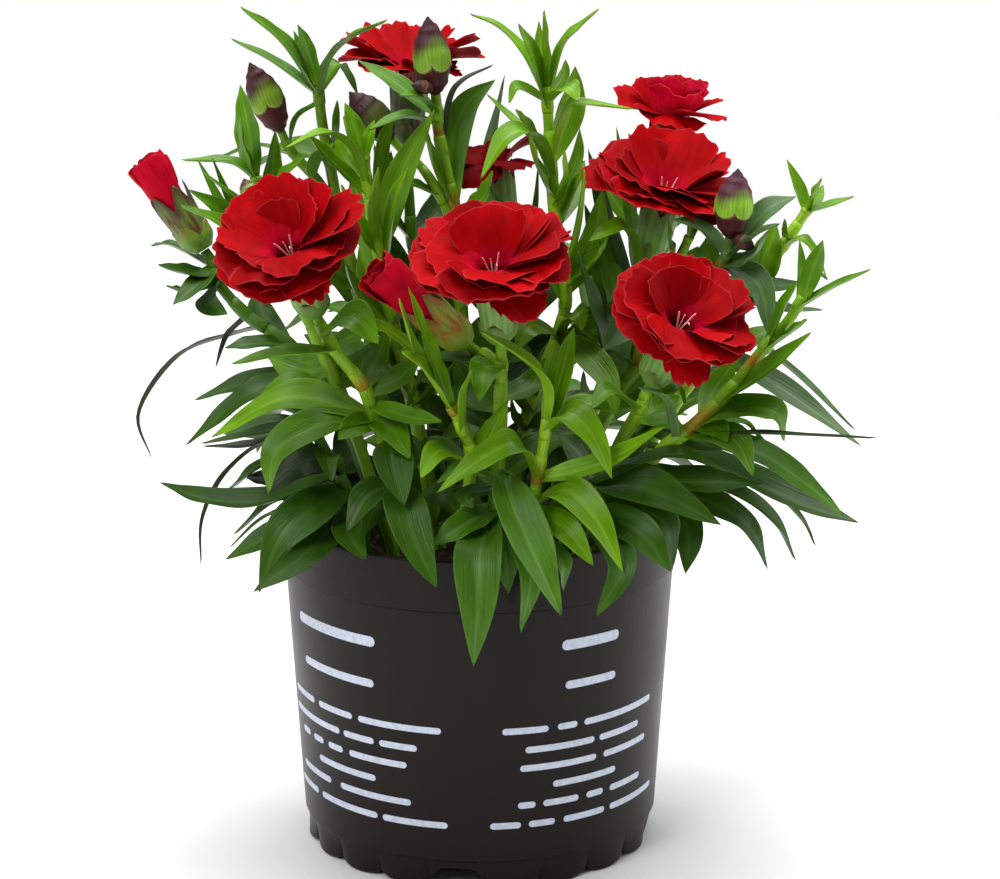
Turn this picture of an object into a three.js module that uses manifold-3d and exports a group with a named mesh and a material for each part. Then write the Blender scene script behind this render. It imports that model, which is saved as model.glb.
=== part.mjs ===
// A pot dianthus with red double flowers, in its thermoformed nursery pot.
// Millimetres, +Z up, origin on the ground under the pot's axis.
import * as THREE from "three";
import { mergeVertices } from "three/addons/utils/BufferGeometryUtils.js";
import Module from "manifold-3d";

const wasm = await Module();
wasm.setup();

// ---------------------------------------------------------------- driving dimensions

const GAP = 0.3; // kept between pieces that touch
const UP = new THREE.Vector3(0, 0, 1);
const BACK = new THREE.Vector3(0, 1, 0);

const POT = {
  rimRadius: 61,
  height: 103.6,
  wall: 1.2,
  bandRadius: 60.3, // at the lower edge of the rim band
  bandBottom: 88,
  bandStep: 0.7,
  footRadius: 53.6,
  footHeight: 8.6,
  footWall: 2,
  wallFootRadius: 54.7,
  step: 0.6, // height of the little slopes under the band and over the foot
  floorUnder: 6.8,
  floorCorner: 2,
  segments: 32,
};
// The foot's lobes are parted by grooves. Angles run from the front, positive to the right.
const LOBES = { count: 20, groove: 2.2, grooveDepth: 3, startAngle: 2 };
const ARCH = { count: 4, width: 16, height: 6.4, shoulder: 2, angle: -7 };
const DRAIN = { count: 6, radius: 4, ring: 34, sides: 12 };
const CUT = 6; // length of a cutter, enough to pass through the wall or the floor

const SOIL = { top: 93, crown: 1.5, edge: 1, slope: 12, pegDepth: 10 };

const STEM = { baseRadius: 2.1, topRadius: 1.5, branchRadius: 1.3, neck: 5, sides: 5 };
const LEAF = { blade: 0.5, keel: 0.7, baseWidth: 2.2, rooted: 0.3, wideAt: 0.42, taper: 0.8 };

const CALYX = { length: 22, foot: 3, baseRadius: 3, shoulder: 5, mouth: 6.4, wall: 0.8, sides: 10 };
const BUD_CALYX_LENGTH = 20;
const PETAL = { wall: 0.7, clawStart: 4, overMouth: 0.5, sides: 15, ruffles: 5, lobe: 0.07 };
// Each whorl: the radius of its claws, where they start over PETAL.clawStart, their radius at the
// mouth, and its blades as [share of the flower's spread, height over the mouth].
const WHORLS = {
  outer: { claw: 3.7, rise: 0, mouth: 5, blade: [[0.55, 4.8], [1, 4.2]], ruffle: 1.6 },
  inner: { claw: 2.5, rise: 0.5, mouth: 3.8, blade: [[0.42, 9.5], [0.68, 13.5]], ruffle: 1.2 },
};
const OVARY = [[0, 4], [1.3, 5], [1, 12], [0, 13]]; // radius and height over the calyx's base
const OVARY_SIDES = 6;
const STYLE = { points: [[0, 11], [0.4, 20], [1.8, 28]], startRadius: 0.55, endRadius: 0.4 };
// The rolled petals of an opening bud. waist is how far under the mouth they reach their full
// radius, less slack; head and cap are how far under the end the roll is widest and closes.
const ROLL = {
  clawRadius: 3.6,
  mouthRadius: 5.2,
  headRadius: 7,
  endRadius: 6.2,
  overMouth: 1,
  waist: 3,
  slack: 0.5,
  head: 4,
  cap: 1,
  flutes: 3,
  flute: 0.12,
  sides: 12,
};
// A closed bud's outline as shares of its radius and length.
const BUD_OUTLINE = [[0, 0], [0.45, 0], [0.88, 0.16], [1, 0.42], [0.88, 0.68], [0.5, 0.9], [0, 1]];
const BUD_SIDES = 9;

// ---------------------------------------------------------------- layout

// Every layout point is [x, z, y] as seen from a fixed viewing point in front of the plant:
// x and z are where the line of sight crosses the plant's middle plane, and y is the true depth.
const VIEWPOINT = new THREE.Vector3(6.3, -835, 334);

function seen([x, z, y]) {
  const scale = 1 - y / VIEWPOINT.y;
  return new THREE.Vector3(
    VIEWPOINT.x + (x - VIEWPOINT.x) * scale,
    y,
    VIEWPOINT.z + (z - VIEWPOINT.z) * scale,
  );
}

// An open flower runs from the base of its calyx to its throat; spread is its outer radius.
const FLOWERS = {
  front_left: { base: [-49.2, 163.6, -42], throat: [-58.2, 186, -54], spread: 24 },
  front_centre: { base: [6.3, 155.3, -46], throat: [4.2, 176.9, -54], spread: 27 },
  front_right: { base: [52.5, 142.4, -40], throat: [62, 163, -52], spread: 24 },
  upper_right: { base: [50, 178, 12], throat: [55, 198, 8.5], spread: 27 },
  top_right: { base: [54, 201, 44], throat: [56.5, 221, 43], spread: 20 },
  top_left: { base: [-21.5, 214, 40], throat: [-20.5, 233, 42], spread: 26 },
  back_centre: { base: [8, 186, 16], throat: [4.5, 206, 17], spread: 12.5 },
};
const FLOWERS_WITH_OPEN_THROAT = ["front_left", "front_centre", "front_right", "upper_right"];

// A bud that is opening: from the base of its calyx to the end of its rolled petals.
const OPENING_BUDS = {
  left: { base: [-82.4, 183, 14], end: [-98.5, 209, 16] },
  front: { base: [-3.6, 154.4, -36], end: [-30.5, 176.5, -43] },
};

// A closed bud: base, tip and greatest radius.
const CLOSED_BUDS = {
  left: { base: [-58.8, 219, 8], tip: [-67.6, 239, 6], radius: 5.2 },
  top: { base: [-12.8, 230, 2], tip: [-15, 252.5, 0], radius: 5.5 },
  centre: { base: [-26, 216.5, 8], tip: [-38.3, 230.3, 6], radius: 5.3 },
  right: { base: [75.2, 187, -18], tip: [77.2, 207.5, -20], radius: 5.6 },
  small: { base: [-67.5, 197.5, -27], tip: [-70, 204.5, -28], radius: 2.6 },
};

// A shoot is one grown piece: a stem rooted in the soil at root [x, y], its side branches and its
// leaves. A stem's points are counted from 0, the root or the branching point, and a leaf is
// [place along the stem, width, roll in degrees, [points it passes through, its tip last]].
// "from" is where on the main stem a branch starts, and "bears" names the flower or bud on its end.
const SHOOTS = {
  stem_front_left: [
    {
      root: [-16, -22],
      points: [[-31.5, 131, -34], [-35.5, 141.5, -38], [-42.5, 150.5, -41]],
      bears: ["flower", "front_left"],
      leaves: [
        [1.5, 9, 30, [[-24, 144, -34], [-17, 151, -32]]],
        [3.8, 12, 35, [[-38.5, 163, -52], [-30.2, 154, -54]]],
        [3.2, 10, 5, [[-60, 151.5, -50], [-75.3, 148, -50]]],
        [1.0, 13, 25, [[-48, 129.5, -44], [-62, 121, -50], [-64.7, 106.8, -52]]],
        [1.0, 13, 30, [[-57, 138, -34], [-81.9, 124.9, -32]]],
        [1.0, 8, 40, [[-38, 128.5, -44], [-43.2, 124.3, -50]]],
        [1.0, 10, 20, [[-27, 128, -44.5], [-21, 118, -57]]],
        [2.0, 8, 60, [[-31, 149, -30], [-28, 158, -26]]],
        [1.2, 7, 30, [[-21, 131.5, -50], [-11, 130, -56]]],
        [0.4, 12, 20, [[-14, 108, -34], [-6, 100, -42]]],
      ],
    },
  ],
  stem_front_centre: [
    {
      root: [4, -26],
      points: [[6.2, 128, -38], [6.5, 137, -40], [6.8, 147, -43]],
      bears: ["flower", "front_centre"],
      leaves: [
        [0.5, 12, 25, [[-12, 121, -39.5], [-26, 113, -41]]],
        [0.6, 12, 25, [[18, 122, -30], [30, 127, -26]]],
        [3.0, 10, 20, [[2, 147, -50], [-0.2, 136, -54]]],
        [3.0, 8, 10, [[-14, 149, -34], [-24.5, 129.2, -36]]],
        [2.0, 8, 30, [[16, 142, -32], [20, 150, -28]]],
        [1.0, 9, 30, [[-4, 134, -28], [-10, 142, -22]]],
        [1.4, 10, 50, [[-2, 140, -28], [-8, 150, -24]]],
        [0.3, 12, 20, [[-4, 106, -32], [-13, 98, -38]]],
      ],
    },
    {
      from: 3,
      points: [[2, 151.6, -41]],
      bears: ["opening_bud", "front"],
      leaves: [],
    },
  ],
  stem_front_right: [
    {
      root: [24, -18],
      points: [[44, 125, -30], [49, 134, -36]],
      bears: ["flower", "front_right"],
      leaves: [
        [2.8, 9, 40, [[60, 143.5, -37], [62.8, 135.2, -30]]],
        [2.0, 8, 20, [[40, 140, -44], [34, 134, -50]]],
        [1.0, 9, 20, [[56, 130, -29.5], [64, 126, -31]]],
        [1.4, 10, 60, [[54, 134, -24], [61, 138, -20]]],
      ],
    },
  ],
  stem_upper_right: [
    {
      root: [20, 6],
      points: [[38, 131, -2], [42.6, 140, 0], [48, 148, 2], [50.5, 160, 6], [50.5, 171, 8]],
      bears: ["flower", "upper_right"],
      leaves: [
        [0.9, 11, 0, [[48, 136, 24], [64, 132, 40]]],
        [0.6, 12, 30, [[24, 130, -8], [14, 128, -12]]],
        [5.2, 8, 25, [[45, 189, -3], [39, 189, -8], [32.4, 185.3, -10]]],
        [4.2, 12, 45, [[46, 161.5, -12], [36.6, 151.8, -20]]],
        [1.6, 13, 70, [[36.5, 160, -18], [29.5, 183, -20]]],
        [3.0, 8, 30, [[38, 154, -8], [30, 158.5, -14]]],
        [1.2, 12, 60, [[52, 144, 8], [62, 148, 12]]],
        [2.4, 11, 60, [[40, 156, 10], [32, 166, 14]]],
        [0.3, 12, 30, [[29, 113, 14], [37, 108, 22]]],
        [2.4, 9, 70, [[38, 176, 12], [31.5, 197, 14]]],
        [3.4, 8, 70, [[40, 186, 22], [32.4, 213.5, 26]]],
        [4.2, 6, 60, [[46, 192, 34], [40.7, 220.2, 42]]],
        [1.8, 12, 60, [[42, 166, -7], [36, 186, -2]]],
      ],
    },
    {
      from: 4,
      points: [[57, 173, 0], [63, 187, -2]],
      leaves: [
        [2, 4, 60, [[63.3, 193.5, 4.5], [63.5, 199.4, 11]]],
        [2, 4, 60, [[65, 193.5, 5], [65.4, 199, 10]]],
        [1.4, 8, 70, [[58, 184, -6], [57, 192, -8]]],
        [1.4, 8, 70, [[68, 181, 2], [69.5, 189, 4]]],
        [1.1, 8, 70, [[53, 178, -6], [53.5, 188, -8]]],
      ],
    },
  ],
  stem_top_right: [
    {
      root: [16, 30],
      points: [[34, 133, 28], [44, 162, 34], [51, 186, 40]],
      bears: ["flower", "top_right"],
      leaves: [
        [0.6, 12, 0, [[34, 122, 52], [44, 100, 74]]],
        [0.8, 12, 0, [[22, 128, 54], [20, 106, 79]]],
        [0.9, 11, 0, [[54, 126, 44], [82, 110, 54]]],
        [1.4, 10, 0, [[48, 150, 50], [62, 142, 70]]],
        [1.0, 11, 0, [[48, 138, 48], [66, 124, 62]]],
        [1.0, 10, 0, [[24, 142, 46], [14, 132, 70]]],
        [2.0, 9, 0, [[60, 172, 46], [76, 166, 60]]],
        [2.0, 9, 10, [[34, 178, 44], [24, 186, 54]]],
        [3.0, 8, 20, [[60, 194, 48], [70, 202, 54]]],
        [3.0, 8, 20, [[42, 196, 46], [34, 211, 50]]],
        [1.3, 13, 60, [[50, 151, 24], [62, 157, 20]]],
        [1.6, 12, 60, [[33, 157, 26], [26, 164, 22]]],
        [2.2, 10, 60, [[38, 178, 34], [32, 190, 34]]],
        [2.2, 10, 60, [[52, 182, 34], [58, 190, 30]]],
        [0.8, 12, 60, [[32, 133, 20], [31.5, 146, 16]]],
        [1.9, 9, 70, [[33, 168, 26], [30, 176, 24]]],
      ],
    },
  ],
  stem_top_left: [
    {
      root: [-12, 28],
      points: [[-14, 130, 32], [-17, 160, 36], [-20, 186, 39], [-21, 201, 40]],
      bears: ["flower", "top_left"],
      leaves: [
        [0.6, 12, 0, [[-20, 124, 52], [-30, 104, 74]]],
        [0.6, 12, 0, [[-6, 126.5, 54], [-2, 105, 80]]],
        [0.8, 11, 0, [[-30, 128, 44], [-52, 116, 56]]],
        [1.3, 10, 0, [[-14, 146, 54], [-14, 140, 74]]],
        [1.0, 11, 0, [[-30, 134, 50], [-42, 118, 62]]],
        [1.0, 11, 0, [[-4, 136, 52], [4, 124, 72]]],
        [2.0, 9, 0, [[-32, 168, 42], [-46, 164, 54]]],
        [2.0, 9, 10, [[-6, 172, 44], [4, 180, 54]]],
        [3.0, 9, 40, [[-28, 198, 34], [-31, 215, 30]]],
        [3.0, 8, 20, [[-12, 197, 50], [-8, 210, 56]]],
        [1.2, 13, 60, [[-27, 142, 26], [-40, 148, 24]]],
        [1.3, 12, 60, [[-9, 151, 24], [-4, 161, 18]]],
        [1.7, 13, 60, [[-30, 163, 30], [-45, 174, 28]]],
        [2.3, 10, 60, [[-27, 182, 36], [-34, 194, 36]]],
      ],
    },
  ],
  stem_back_centre: [
    {
      root: [2, 16],
      points: [[4, 135, 12], [6, 158, 12], [7.5, 175, 15]],
      bears: ["flower", "back_centre"],
      leaves: [
        [0.7, 12, 0, [[8, 128, 40], [10, 118, 66]]],
        [1.4, 10, 0, [[-4, 156, 34], [-10, 152, 56]]],
        [1.0, 11, 30, [[-6, 148, 9], [-16, 152, 12]]],
        [0.6, 12, 25, [[14, 128, 6.5], [27, 129, 5]]],
        [2.0, 8, 60, [[1, 200, 45.5], [7.8, 235.7, 65]]],
        [3.0, 7, 50, [[6, 197, 0], [3.4, 201.6, -4]]],
        [3.0, 7, 40, [[15.5, 188, 3], [17.5, 208, 1]]],
        [2.0, 9, 20, [[-2, 172, 18], [-12, 178, 26]]],
        [2.0, 9, 20, [[14, 172, 16], [22, 182, 26]]],
        [1.0, 11, 0, [[16, 140, 30], [30, 130, 48]]],
        [1.2, 13, 60, [[16, 152, 22], [28, 158, 26]]],
        [1.7, 12, 60, [[18, 168, 4], [27, 172, 2]]],
        [0.9, 13, 50, [[-3, 139, 19], [-11, 144, 21]]],
        [2.3, 10, 60, [[-2, 182, 14], [-8, 192, 18]]],
      ],
    },
  ],
  stem_left_bud: [
    {
      root: [-28, -4],
      points: [[-44, 140, 0], [-58, 154.5, 6], [-70, 163, 10], [-78.5, 173, 12]],
      bears: ["opening_bud", "left"],
      leaves: [
        [4.8, 4, 0, [[-92, 185, 20], [-98.4, 184.4, 24]]],
        [4.3, 8, 20, [[-88, 176.5, 4], [-96.4, 178.6, 0]]],
        [4.0, 6, 5, [[-87, 171, 2], [-94.2, 172.2, -4]]],
        [4.8, 7, 15, [[-86, 171.5, -2], [-92.3, 166.2, -8]]],
        [4.0, 9, 50, [[-81.5, 167.5, 4], [-75.8, 163.2, 0]]],
        [3.0, 3, 0, [[-76, 157, 16], [-79.9, 147, 20]]],
        [2.6, 3, 10, [[-75, 157.5, 26], [-91, 151, 46], [-103.5, 133, 60], [-100, 118, 60]]],
        [1.3, 11, 15, [[-70, 142.5, -2], [-86.6, 136.7, -4]]],
        [1.2, 10, 20, [[-68, 140, -12], [-89.9, 122.3, -16]]],
        [0.8, 8, 10, [[-62, 128, 2], [-85.2, 123.1, 4]]],
        [2.0, 8, 30, [[-66, 165, 12], [-62, 173, 16]]],
        [2.0, 9, 15, [[-68, 154.5, 0], [-77, 153, -2]]],
        [0.9, 6, 10, [[-66, 124, 8], [-84.6, 122.3, 10]]],
        [0.5, 13, 60, [[-39, 120, 8], [-42.5, 131, 10]]],
        [0.4, 10, 30, [[-60, 112, 14], [-72, 112.5, 18]]],
      ],
    },
  ],
  stem_top_bud: [
    {
      root: [-4, 4],
      points: [
        [-4, 135, 2], [-5.5, 165, 2], [-7, 188, 2], [-7.8, 198, 2], [-10, 209, 2], [-12, 218.5, 2],
      ],
      bears: ["closed_bud", "top"],
      leaves: [
        [1.0, 11, 30, [[4, 147, -8], [14, 150, -12]]],
        [2.0, 10, 40, [[1, 174, -4], [8, 180, -8]]],
        [0.5, 12, 30, [[-14, 123, -1], [-24, 122, 0]]],
        [3.2, 9, 50, [[0.5, 198, -2], [4, 207, -4]]],
        [6.8, 6, 20, [[-17, 229.3, -4], [-23.7, 229.4, -8]]],
        [6.4, 6, 10, [[-22, 223.6, -8], [-33, 219, -14]]],
        [6.7, 8, 25, [[-24, 232.8, 6], [-35.4, 239.6, 8]]],
        [4.0, 12, 60, [[-12.5, 208, -6], [-15.5, 219, -8]]],
        [3.9, 10, 50, [[-8.5, 212, 8], [-4, 226, 12], [5, 234, 14]]],
        [5.4, 3, 0, [[-8.5, 228, 9], [-4.5, 234, 12], [4.5, 238.5, 14]]],
        [2.0, 9, 20, [[-14, 172, 8], [-20, 182, 14]]],
        [1.0, 10, 10, [[-14, 143, 8], [-26, 138, 20]]],
        [1.4, 12, 60, [[3, 158, -2], [12, 164, -4]]],
        [0.8, 12, 60, [[-12, 132, -6], [-20, 140, -8]]],
        [1.2, 11, 60, [[-12, 150, -4], [-19, 160, -8]]],
        [1.8, 10, 60, [[-12, 168, -6], [-17, 178, -8]]],
        [0.3, 12, 30, [[4, 113, -4], [12, 105, -8]]],
        [0.8, 12, 50, [[2, 131, -2], [10, 134, -6]]],
      ],
    },
    {
      from: 3,
      points: [[-12, 200, 0], [-17, 207.8, 2], [-22, 212.2, 5]],
      bears: ["closed_bud", "centre"],
      leaves: [[1.0, 5, 20, [[-19, 203, -2], [-25, 203, -6]]]],
    },
  ],
  stem_right_bud: [
    {
      root: [30, 4],
      points: [[52, 133, 2], [62, 155, -4], [69, 170, -10], [73, 179, -15]],
      bears: ["closed_bud", "right"],
      leaves: [
        [0.5, 11, 0, [[56, 120, 28], [80, 104, 40]]],
        [4.7, 8, 20, [[67, 189.5, -13.5], [58.3, 192.3, -15]]],
        [4.6, 10, 25, [[85, 194.5, -15], [94.7, 199.2, -14]]],
        [4.4, 5, 20, [[83, 188.5, -28], [90, 191, -34]]],
        [4.0, 9, 30, [[81, 181, -22], [86.4, 188.7, -26]]],
        [4.0, 9, 30, [[84, 172.5, -22], [88, 155.6, -28]]],
        [3.0, 6, 15, [[90, 165.5, -5], [103.8, 164.7, -4]]],
        [3.3, 9, 20, [[86, 172, -6], [99, 173, -4]]],
        [2.0, 10, 20, [[88, 143, -21], [116.7, 122.1, -44]]],
        [2.6, 6, 10, [[92, 149, 19], [115, 127, -2]]],
        [1.2, 12, 60, [[66, 146, 8], [78, 150, 14]]],
      ],
    },
  ],
  shoot_top_left: [
    {
      root: [-20, 12],
      points: [
        [-28, 130, 12], [-34, 160, 12], [-41, 190, 10], [-44.5, 210, 9], [-46.4, 221, 8], [-47.5, 232, 8],
      ],
      leaves: [
        [0.7, 11, 0, [[-36, 124, 34], [-56, 110, 50]]],
        [1.0, 11, 35, [[-39, 143, 1.5], [-50, 145, -5]]],
        [2.0, 10, 35, [[-26, 172, 4], [-18, 178, 0]]],
        [5.8, 10, 25, [[-57, 245, 2], [-70, 255.5, 0]]],
        [5.8, 8, 0, [[-60, 239.5, 12], [-73, 246.2, 16]]],
        [6.0, 5, 50, [[-50.5, 243.5, 8], [-53.2, 250.2, 8]]],
        [5.9, 4, 30, [[-51.5, 240, 14], [-54.4, 248.5, 16]]],
        [5.7, 9, 10, [[-44.5, 240, 4], [-37.5, 247, 2], [-26.5, 251.7, 0]]],
        [5.8, 8, 10, [[-41.5, 239, 14], [-35.6, 229.8, 18]]],
        [5.6, 3, 0, [[-54, 223, 14], [-56.5, 214, 18]]],
        [4.0, 12, 20, [[-57, 214, 22], [-67, 208, 28]]],
        [4.0, 8, 60, [[-42.5, 219, 2], [-42, 228, -2]]],
        [3.0, 9, 10, [[-52, 197, 20], [-62, 192, 30]]],
        [2.0, 10, 0, [[-46, 166, 24], [-60, 158, 36]]],
        [1.0, 11, 0, [[-38, 134, 26], [-54, 122, 44]]],
        [1.5, 12, 50, [[-42, 152, 20], [-53, 157, 26]]],
        [1.4, 11, 60, [[-24, 152, 14], [-20, 162, 16]]],
        [2.4, 10, 60, [[-44, 178, 8], [-50, 188, 10]]],
      ],
    },
    {
      from: 3.3,
      points: [[-48, 204, 8], [-54.5, 211, 8]],
      bears: ["closed_bud", "left"],
      leaves: [
        [2.3, 3, 0, [[-66, 215, 12], [-76, 211.6, 14], [-82, 210.5, 16]]],
        [1.2, 10, 30, [[-47, 213, 0], [-43, 214.5, -4]]],
      ],
    },
  ],
  shoot_upper_left: [
    {
      root: [-26, -14],
      points: [[-40, 133, -20], [-52, 163, -22], [-62, 187, -20], [-66.5, 205, -18]],
      leaves: [
        [1.6, 10, 35, [[-36, 158, -28], [-26, 160, -32]]],
        [4.0, 9, 60, [[-68.5, 219, -14], [-70.5, 232.6, -10]]],
        [4.0, 9, 60, [[-69.5, 213, -22], [-70.7, 222.8, -26]]],
        [4.0, 6, 10, [[-74, 210, -18], [-88.5, 210.2, -18]]],
        [3.2, 8, 60, [[-61.5, 205, -14], [-60.3, 219, -12]]],
        [3.6, 6, 40, [[-58, 206, -22], [-51, 211.8, -26]]],
        [2.6, 4, 40, [[-73, 191, -14], [-84.3, 211.5, -8]]],
        [2.7, 4, 40, [[-71, 191, -20], [-79.6, 211.5, -18]]],
        [2.8, 4, 20, [[-70, 196.5, -26], [-82, 206.6, -28]]],
        [2.5, 9, 40, [[-74, 192.5, -26], [-86.6, 201.3, -30]]],
        [2.4, 8, 30, [[-75, 190, -34], [-89.3, 196.6, -38]]],
        [1.0, 10, 20, [[-56, 143, -23], [-70, 134, -24]]],
        [2.0, 8, 40, [[-50, 176, -30], [-46, 186, -30]]],
        [1.4, 11, 60, [[-54, 146, -14], [-64, 150, -10]]],
        [1.3, 10, 60, [[-38, 146, -24], [-32, 154, -26]]],
      ],
    },
    {
      from: 3.1,
      points: [[-66, 193.5, -25]],
      bears: ["closed_bud", "small"],
      leaves: [],
    },
  ],
  shoot_centre_left: [
    {
      root: [-12, -10],
      points: [[-20, 135, -10], [-26, 160, -12], [-30, 182, -12], [-33, 200, -10], [-34, 211, -9]],
      leaves: [
        [1.0, 11, 30, [[-28, 150, -16], [-38, 152, -18]]],
        [0.6, 12, 30, [[-6, 128, -20], [5, 124, -24]]],
        [1.7, 10, 45, [[-18, 161, -18], [-12, 169, -20]]],
        [5.0, 6, 50, [[-36.5, 219, -8], [-39.7, 227.3, -6]]],
        [5.0, 5, 50, [[-37.5, 216, -14], [-40, 223.4, -16]]],
        [5.0, 5, 50, [[-32.5, 217, -9.5], [-31, 222, -9]]],
        [4.2, 8, 5, [[-38, 214.5, -16], [-46, 218.6, -20], [-58, 213.5, -26]]],
        [4.0, 7, 45, [[-44.5, 211, -16], [-50.7, 218, -20]]],
        [4.2, 7, 50, [[-39.5, 210, -4], [-42.3, 217, -2]]],
        [3.0, 9, 60, [[-24, 204, -8], [-13, 225.3, -6]]],
        [3.2, 8, 60, [[-31, 196, -20], [-30, 208, -22]]],
        [3.0, 8, 60, [[-37, 193, -20], [-41, 203, -22]]],
        [3.4, 7, 60, [[-27.5, 201, -2], [-26, 213, 0]]],
        [2.0, 9, 50, [[-20, 172, -24], [-17, 182, -28]]],
        [2.0, 9, 40, [[-36, 170, -18], [-40, 179, -20]]],
        [1.0, 9, 20, [[-12, 143, -16], [-6, 150, -18]]],
        [3.0, 7, 70, [[-29, 212, -4], [-25, 224, 0]]],
        [2.6, 8, 70, [[-26, 196, -18], [-21, 208, -22]]],
        [2.5, 8, 70, [[-35, 194, -4], [-38, 206, -2]]],
        [1.6, 9, 60, [[-32, 172, -4], [-36, 184, 0]]],
        [1.2, 10, 60, [[-27, 147, -2], [-31, 157, 2]]],
        [0.3, 12, 30, [[-21, 115, -2], [-28, 107, -2]]],
        [0.4, 12, 30, [[-6, 117, -16], [4, 110, -20]]],
      ],
    },
  ],
  shoot_top_centre: [
    {
      root: [10, 2],
      points: [
        [15, 133, -4], [24, 157, -6], [26, 172, -4], [23, 191, -2], [21.3, 212, 0], [20, 232, 0],
      ],
      leaves: [
        [2.6, 9, 50, [[18, 183, -8], [14, 193, -10]]],
        [1.3, 11, 40, [[26, 152, 4], [36, 160, 10]]],
        [5.8, 6, 0, [[13.5, 242, 4], [6, 250, 8], [-2.7, 253.4, 10]]],
        [5.7, 10, 60, [[16.5, 240, -6], [11.8, 250.5, -8]]],
        [6.0, 6, 70, [[20, 244, -2], [19.4, 254.5, -4]]],
        [6.0, 4, 50, [[18.3, 243, 4], [17.7, 251.3, 6]]],
        [5.8, 5, 5, [[24, 243.5, 2], [29, 249.5, 3], [35.5, 255, 4]]],
        [5.8, 4, 60, [[25, 235, 8], [25.7, 240, 10]]],
        [4.9, 9, 60, [[27.5, 226, 8], [28.5, 238, 10]]],
        [5.8, 8, 20, [[26, 232, -8], [29.7, 227.6, -12]]],
        [4.9, 8, 15, [[25, 224, -6], [30, 227.3, -8], [46.3, 225.3, -6]]],
        [5.8, 6, 20, [[12, 232, -2], [8.8, 227, -4]]],
        [4.7, 10, 15, [[16, 218, -12], [8, 217, -16], [0.3, 204, -20]]],
        [4.9, 6, 40, [[15, 220, -4], [11, 225.3, -6]]],
        [4.4, 9, 60, [[17.5, 210, -14], [15, 219, -18]]],
        [4.3, 8, 60, [[25.5, 204, -8], [25.3, 213, -10]]],
        [5.0, 4, 0, [[10, 222.5, 10], [2.4, 229.8, 14]]],
        [4.2, 4, 40, [[29, 210, 4], [30, 219.6, 8]]],
        [4.0, 8, 30, [[28, 202, 14], [31.5, 210, 22]]],
        [3.9, 6, 50, [[28, 201, -6], [31, 207.6, -8]]],
        [2.0, 9, 25, [[32, 151.5, -22], [39, 143, -30], [42, 130.3, -38]]],
        [2.0, 8, 40, [[29, 164, -20], [31.2, 158, -24]]],
        [2.0, 9, 40, [[16, 160, -24], [11, 152, -30]]],
        [3.0, 9, 30, [[34, 180, -8], [38, 186, -10]]],
        [1.0, 10, 20, [[8, 142, -18], [2, 148, -22]]],
        [1.0, 10, 10, [[25, 136, 6], [36, 140, 14]]],
        [1.2, 11, 60, [[16, 147, -12], [12, 158, -15]]],
        [1.6, 10, 60, [[34, 158, 0], [42, 166, 4]]],
        [2.9, 9, 70, [[34, 185, 0], [37, 202, 2]]],
        [0.4, 12, 30, [[22, 118, -8], [32, 112, -14]]],
        [3.2, 7, 70, [[29.5, 190, -12], [31.3, 207.5, -16]]],
        [0.9, 8, 60, [[11, 131, -12], [10, 138, -14]]],
      ],
    },
  ],
  shoot_right_upper: [
    {
      root: [35, -7],
      points: [[56, 130, -8], [70, 150, -6], [83, 171, 0], [91, 184, 4], [98, 195, 6]],
      leaves: [
        [5.0, 4, 40, [[95.5, 202, 8], [91.5, 210.4, 10]]],
        [5.0, 5, 40, [[99.5, 200, 4], [102, 204.8, 2]]],
        [5.0, 4, 40, [[101, 199, 10], [102.7, 202.6, 14]]],
        [5.0, 5, 15, [[103.5, 196.5, 4], [112, 199.3, 4]]],
        [4.3, 4, 50, [[91.5, 188, -2], [91.5, 192.5, -4]]],
        [3.0, 10, 60, [[86, 181, -0.5], [89, 191, 3]]],
        [4.0, 4, 15, [[96, 186.8, -2], [100.5, 183, -4], [104.5, 174.5, -6]]],
        [2.0, 9, 20, [[82, 156, -4.5], [92, 160, 1]]],
        [1.0, 10, 10, [[66, 138, 4], [80, 134, 14]]],
      ],
    },
  ],
  shoot_right: [
    {
      root: [28, -27],
      points: [
        [52, 117, -35], [65.7, 129, -37], [75.2, 138.8, -36], [83, 148.7, -34], [88.3, 155.3, -33],
        [93.5, 161.6, -32], [97.5, 168.5, -31],
      ],
      leaves: [
        [6.6, 6, 10, [[106, 172, -34], [117.7, 177.3, -38]]],
        [7.0, 6, 50, [[100.5, 178, -30], [103, 186, -28]]],
        [6.9, 4, 10, [[101, 176, -26], [105, 174, -24]]],
        [6.8, 3, 20, [[96.8, 178, -26], [96, 186.1, -24]]],
        [4.6, 9, 50, [[91, 165, -38], [95.5, 173.5, -42]]],
        [4.6, 6, 20, [[94, 158.5, -38], [99, 162, -42]]],
        [2.8, 11, 25, [[88, 147, -42], [100.3, 158, -46]]],
        [2.2, 8, 40, [[72, 141, -28], [79, 151, -24]]],
        [2.0, 12, 25, [[78, 134, -42], [90, 133, -46], [93, 123.5, -48]]],
        [1.8, 3, 0, [[90, 126.7, -50], [121.6, 125, -60]]],
        [1.6, 4, 10, [[79, 130.5, -30], [86, 125, -28], [91.5, 118, -26]]],
        [2.0, 7, 40, [[72.5, 128, -42], [75.8, 123.5, -48]]],
        [1.7, 10, 30, [[77, 125, -46], [84, 112.5, -52]]],
        [1.3, 11, 20, [[74, 123, -26], [88, 119, -22]]],
        [1.5, 6, 25, [[56.5, 137.5, -47], [48.3, 140.7, -56]]],
      ],
    },
  ],
  shoot_front_right: [
    {
      root: [12, -38],
      points: [[16, 104, -48], [18, 113, -49], [20.8, 131, -50]],
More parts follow.
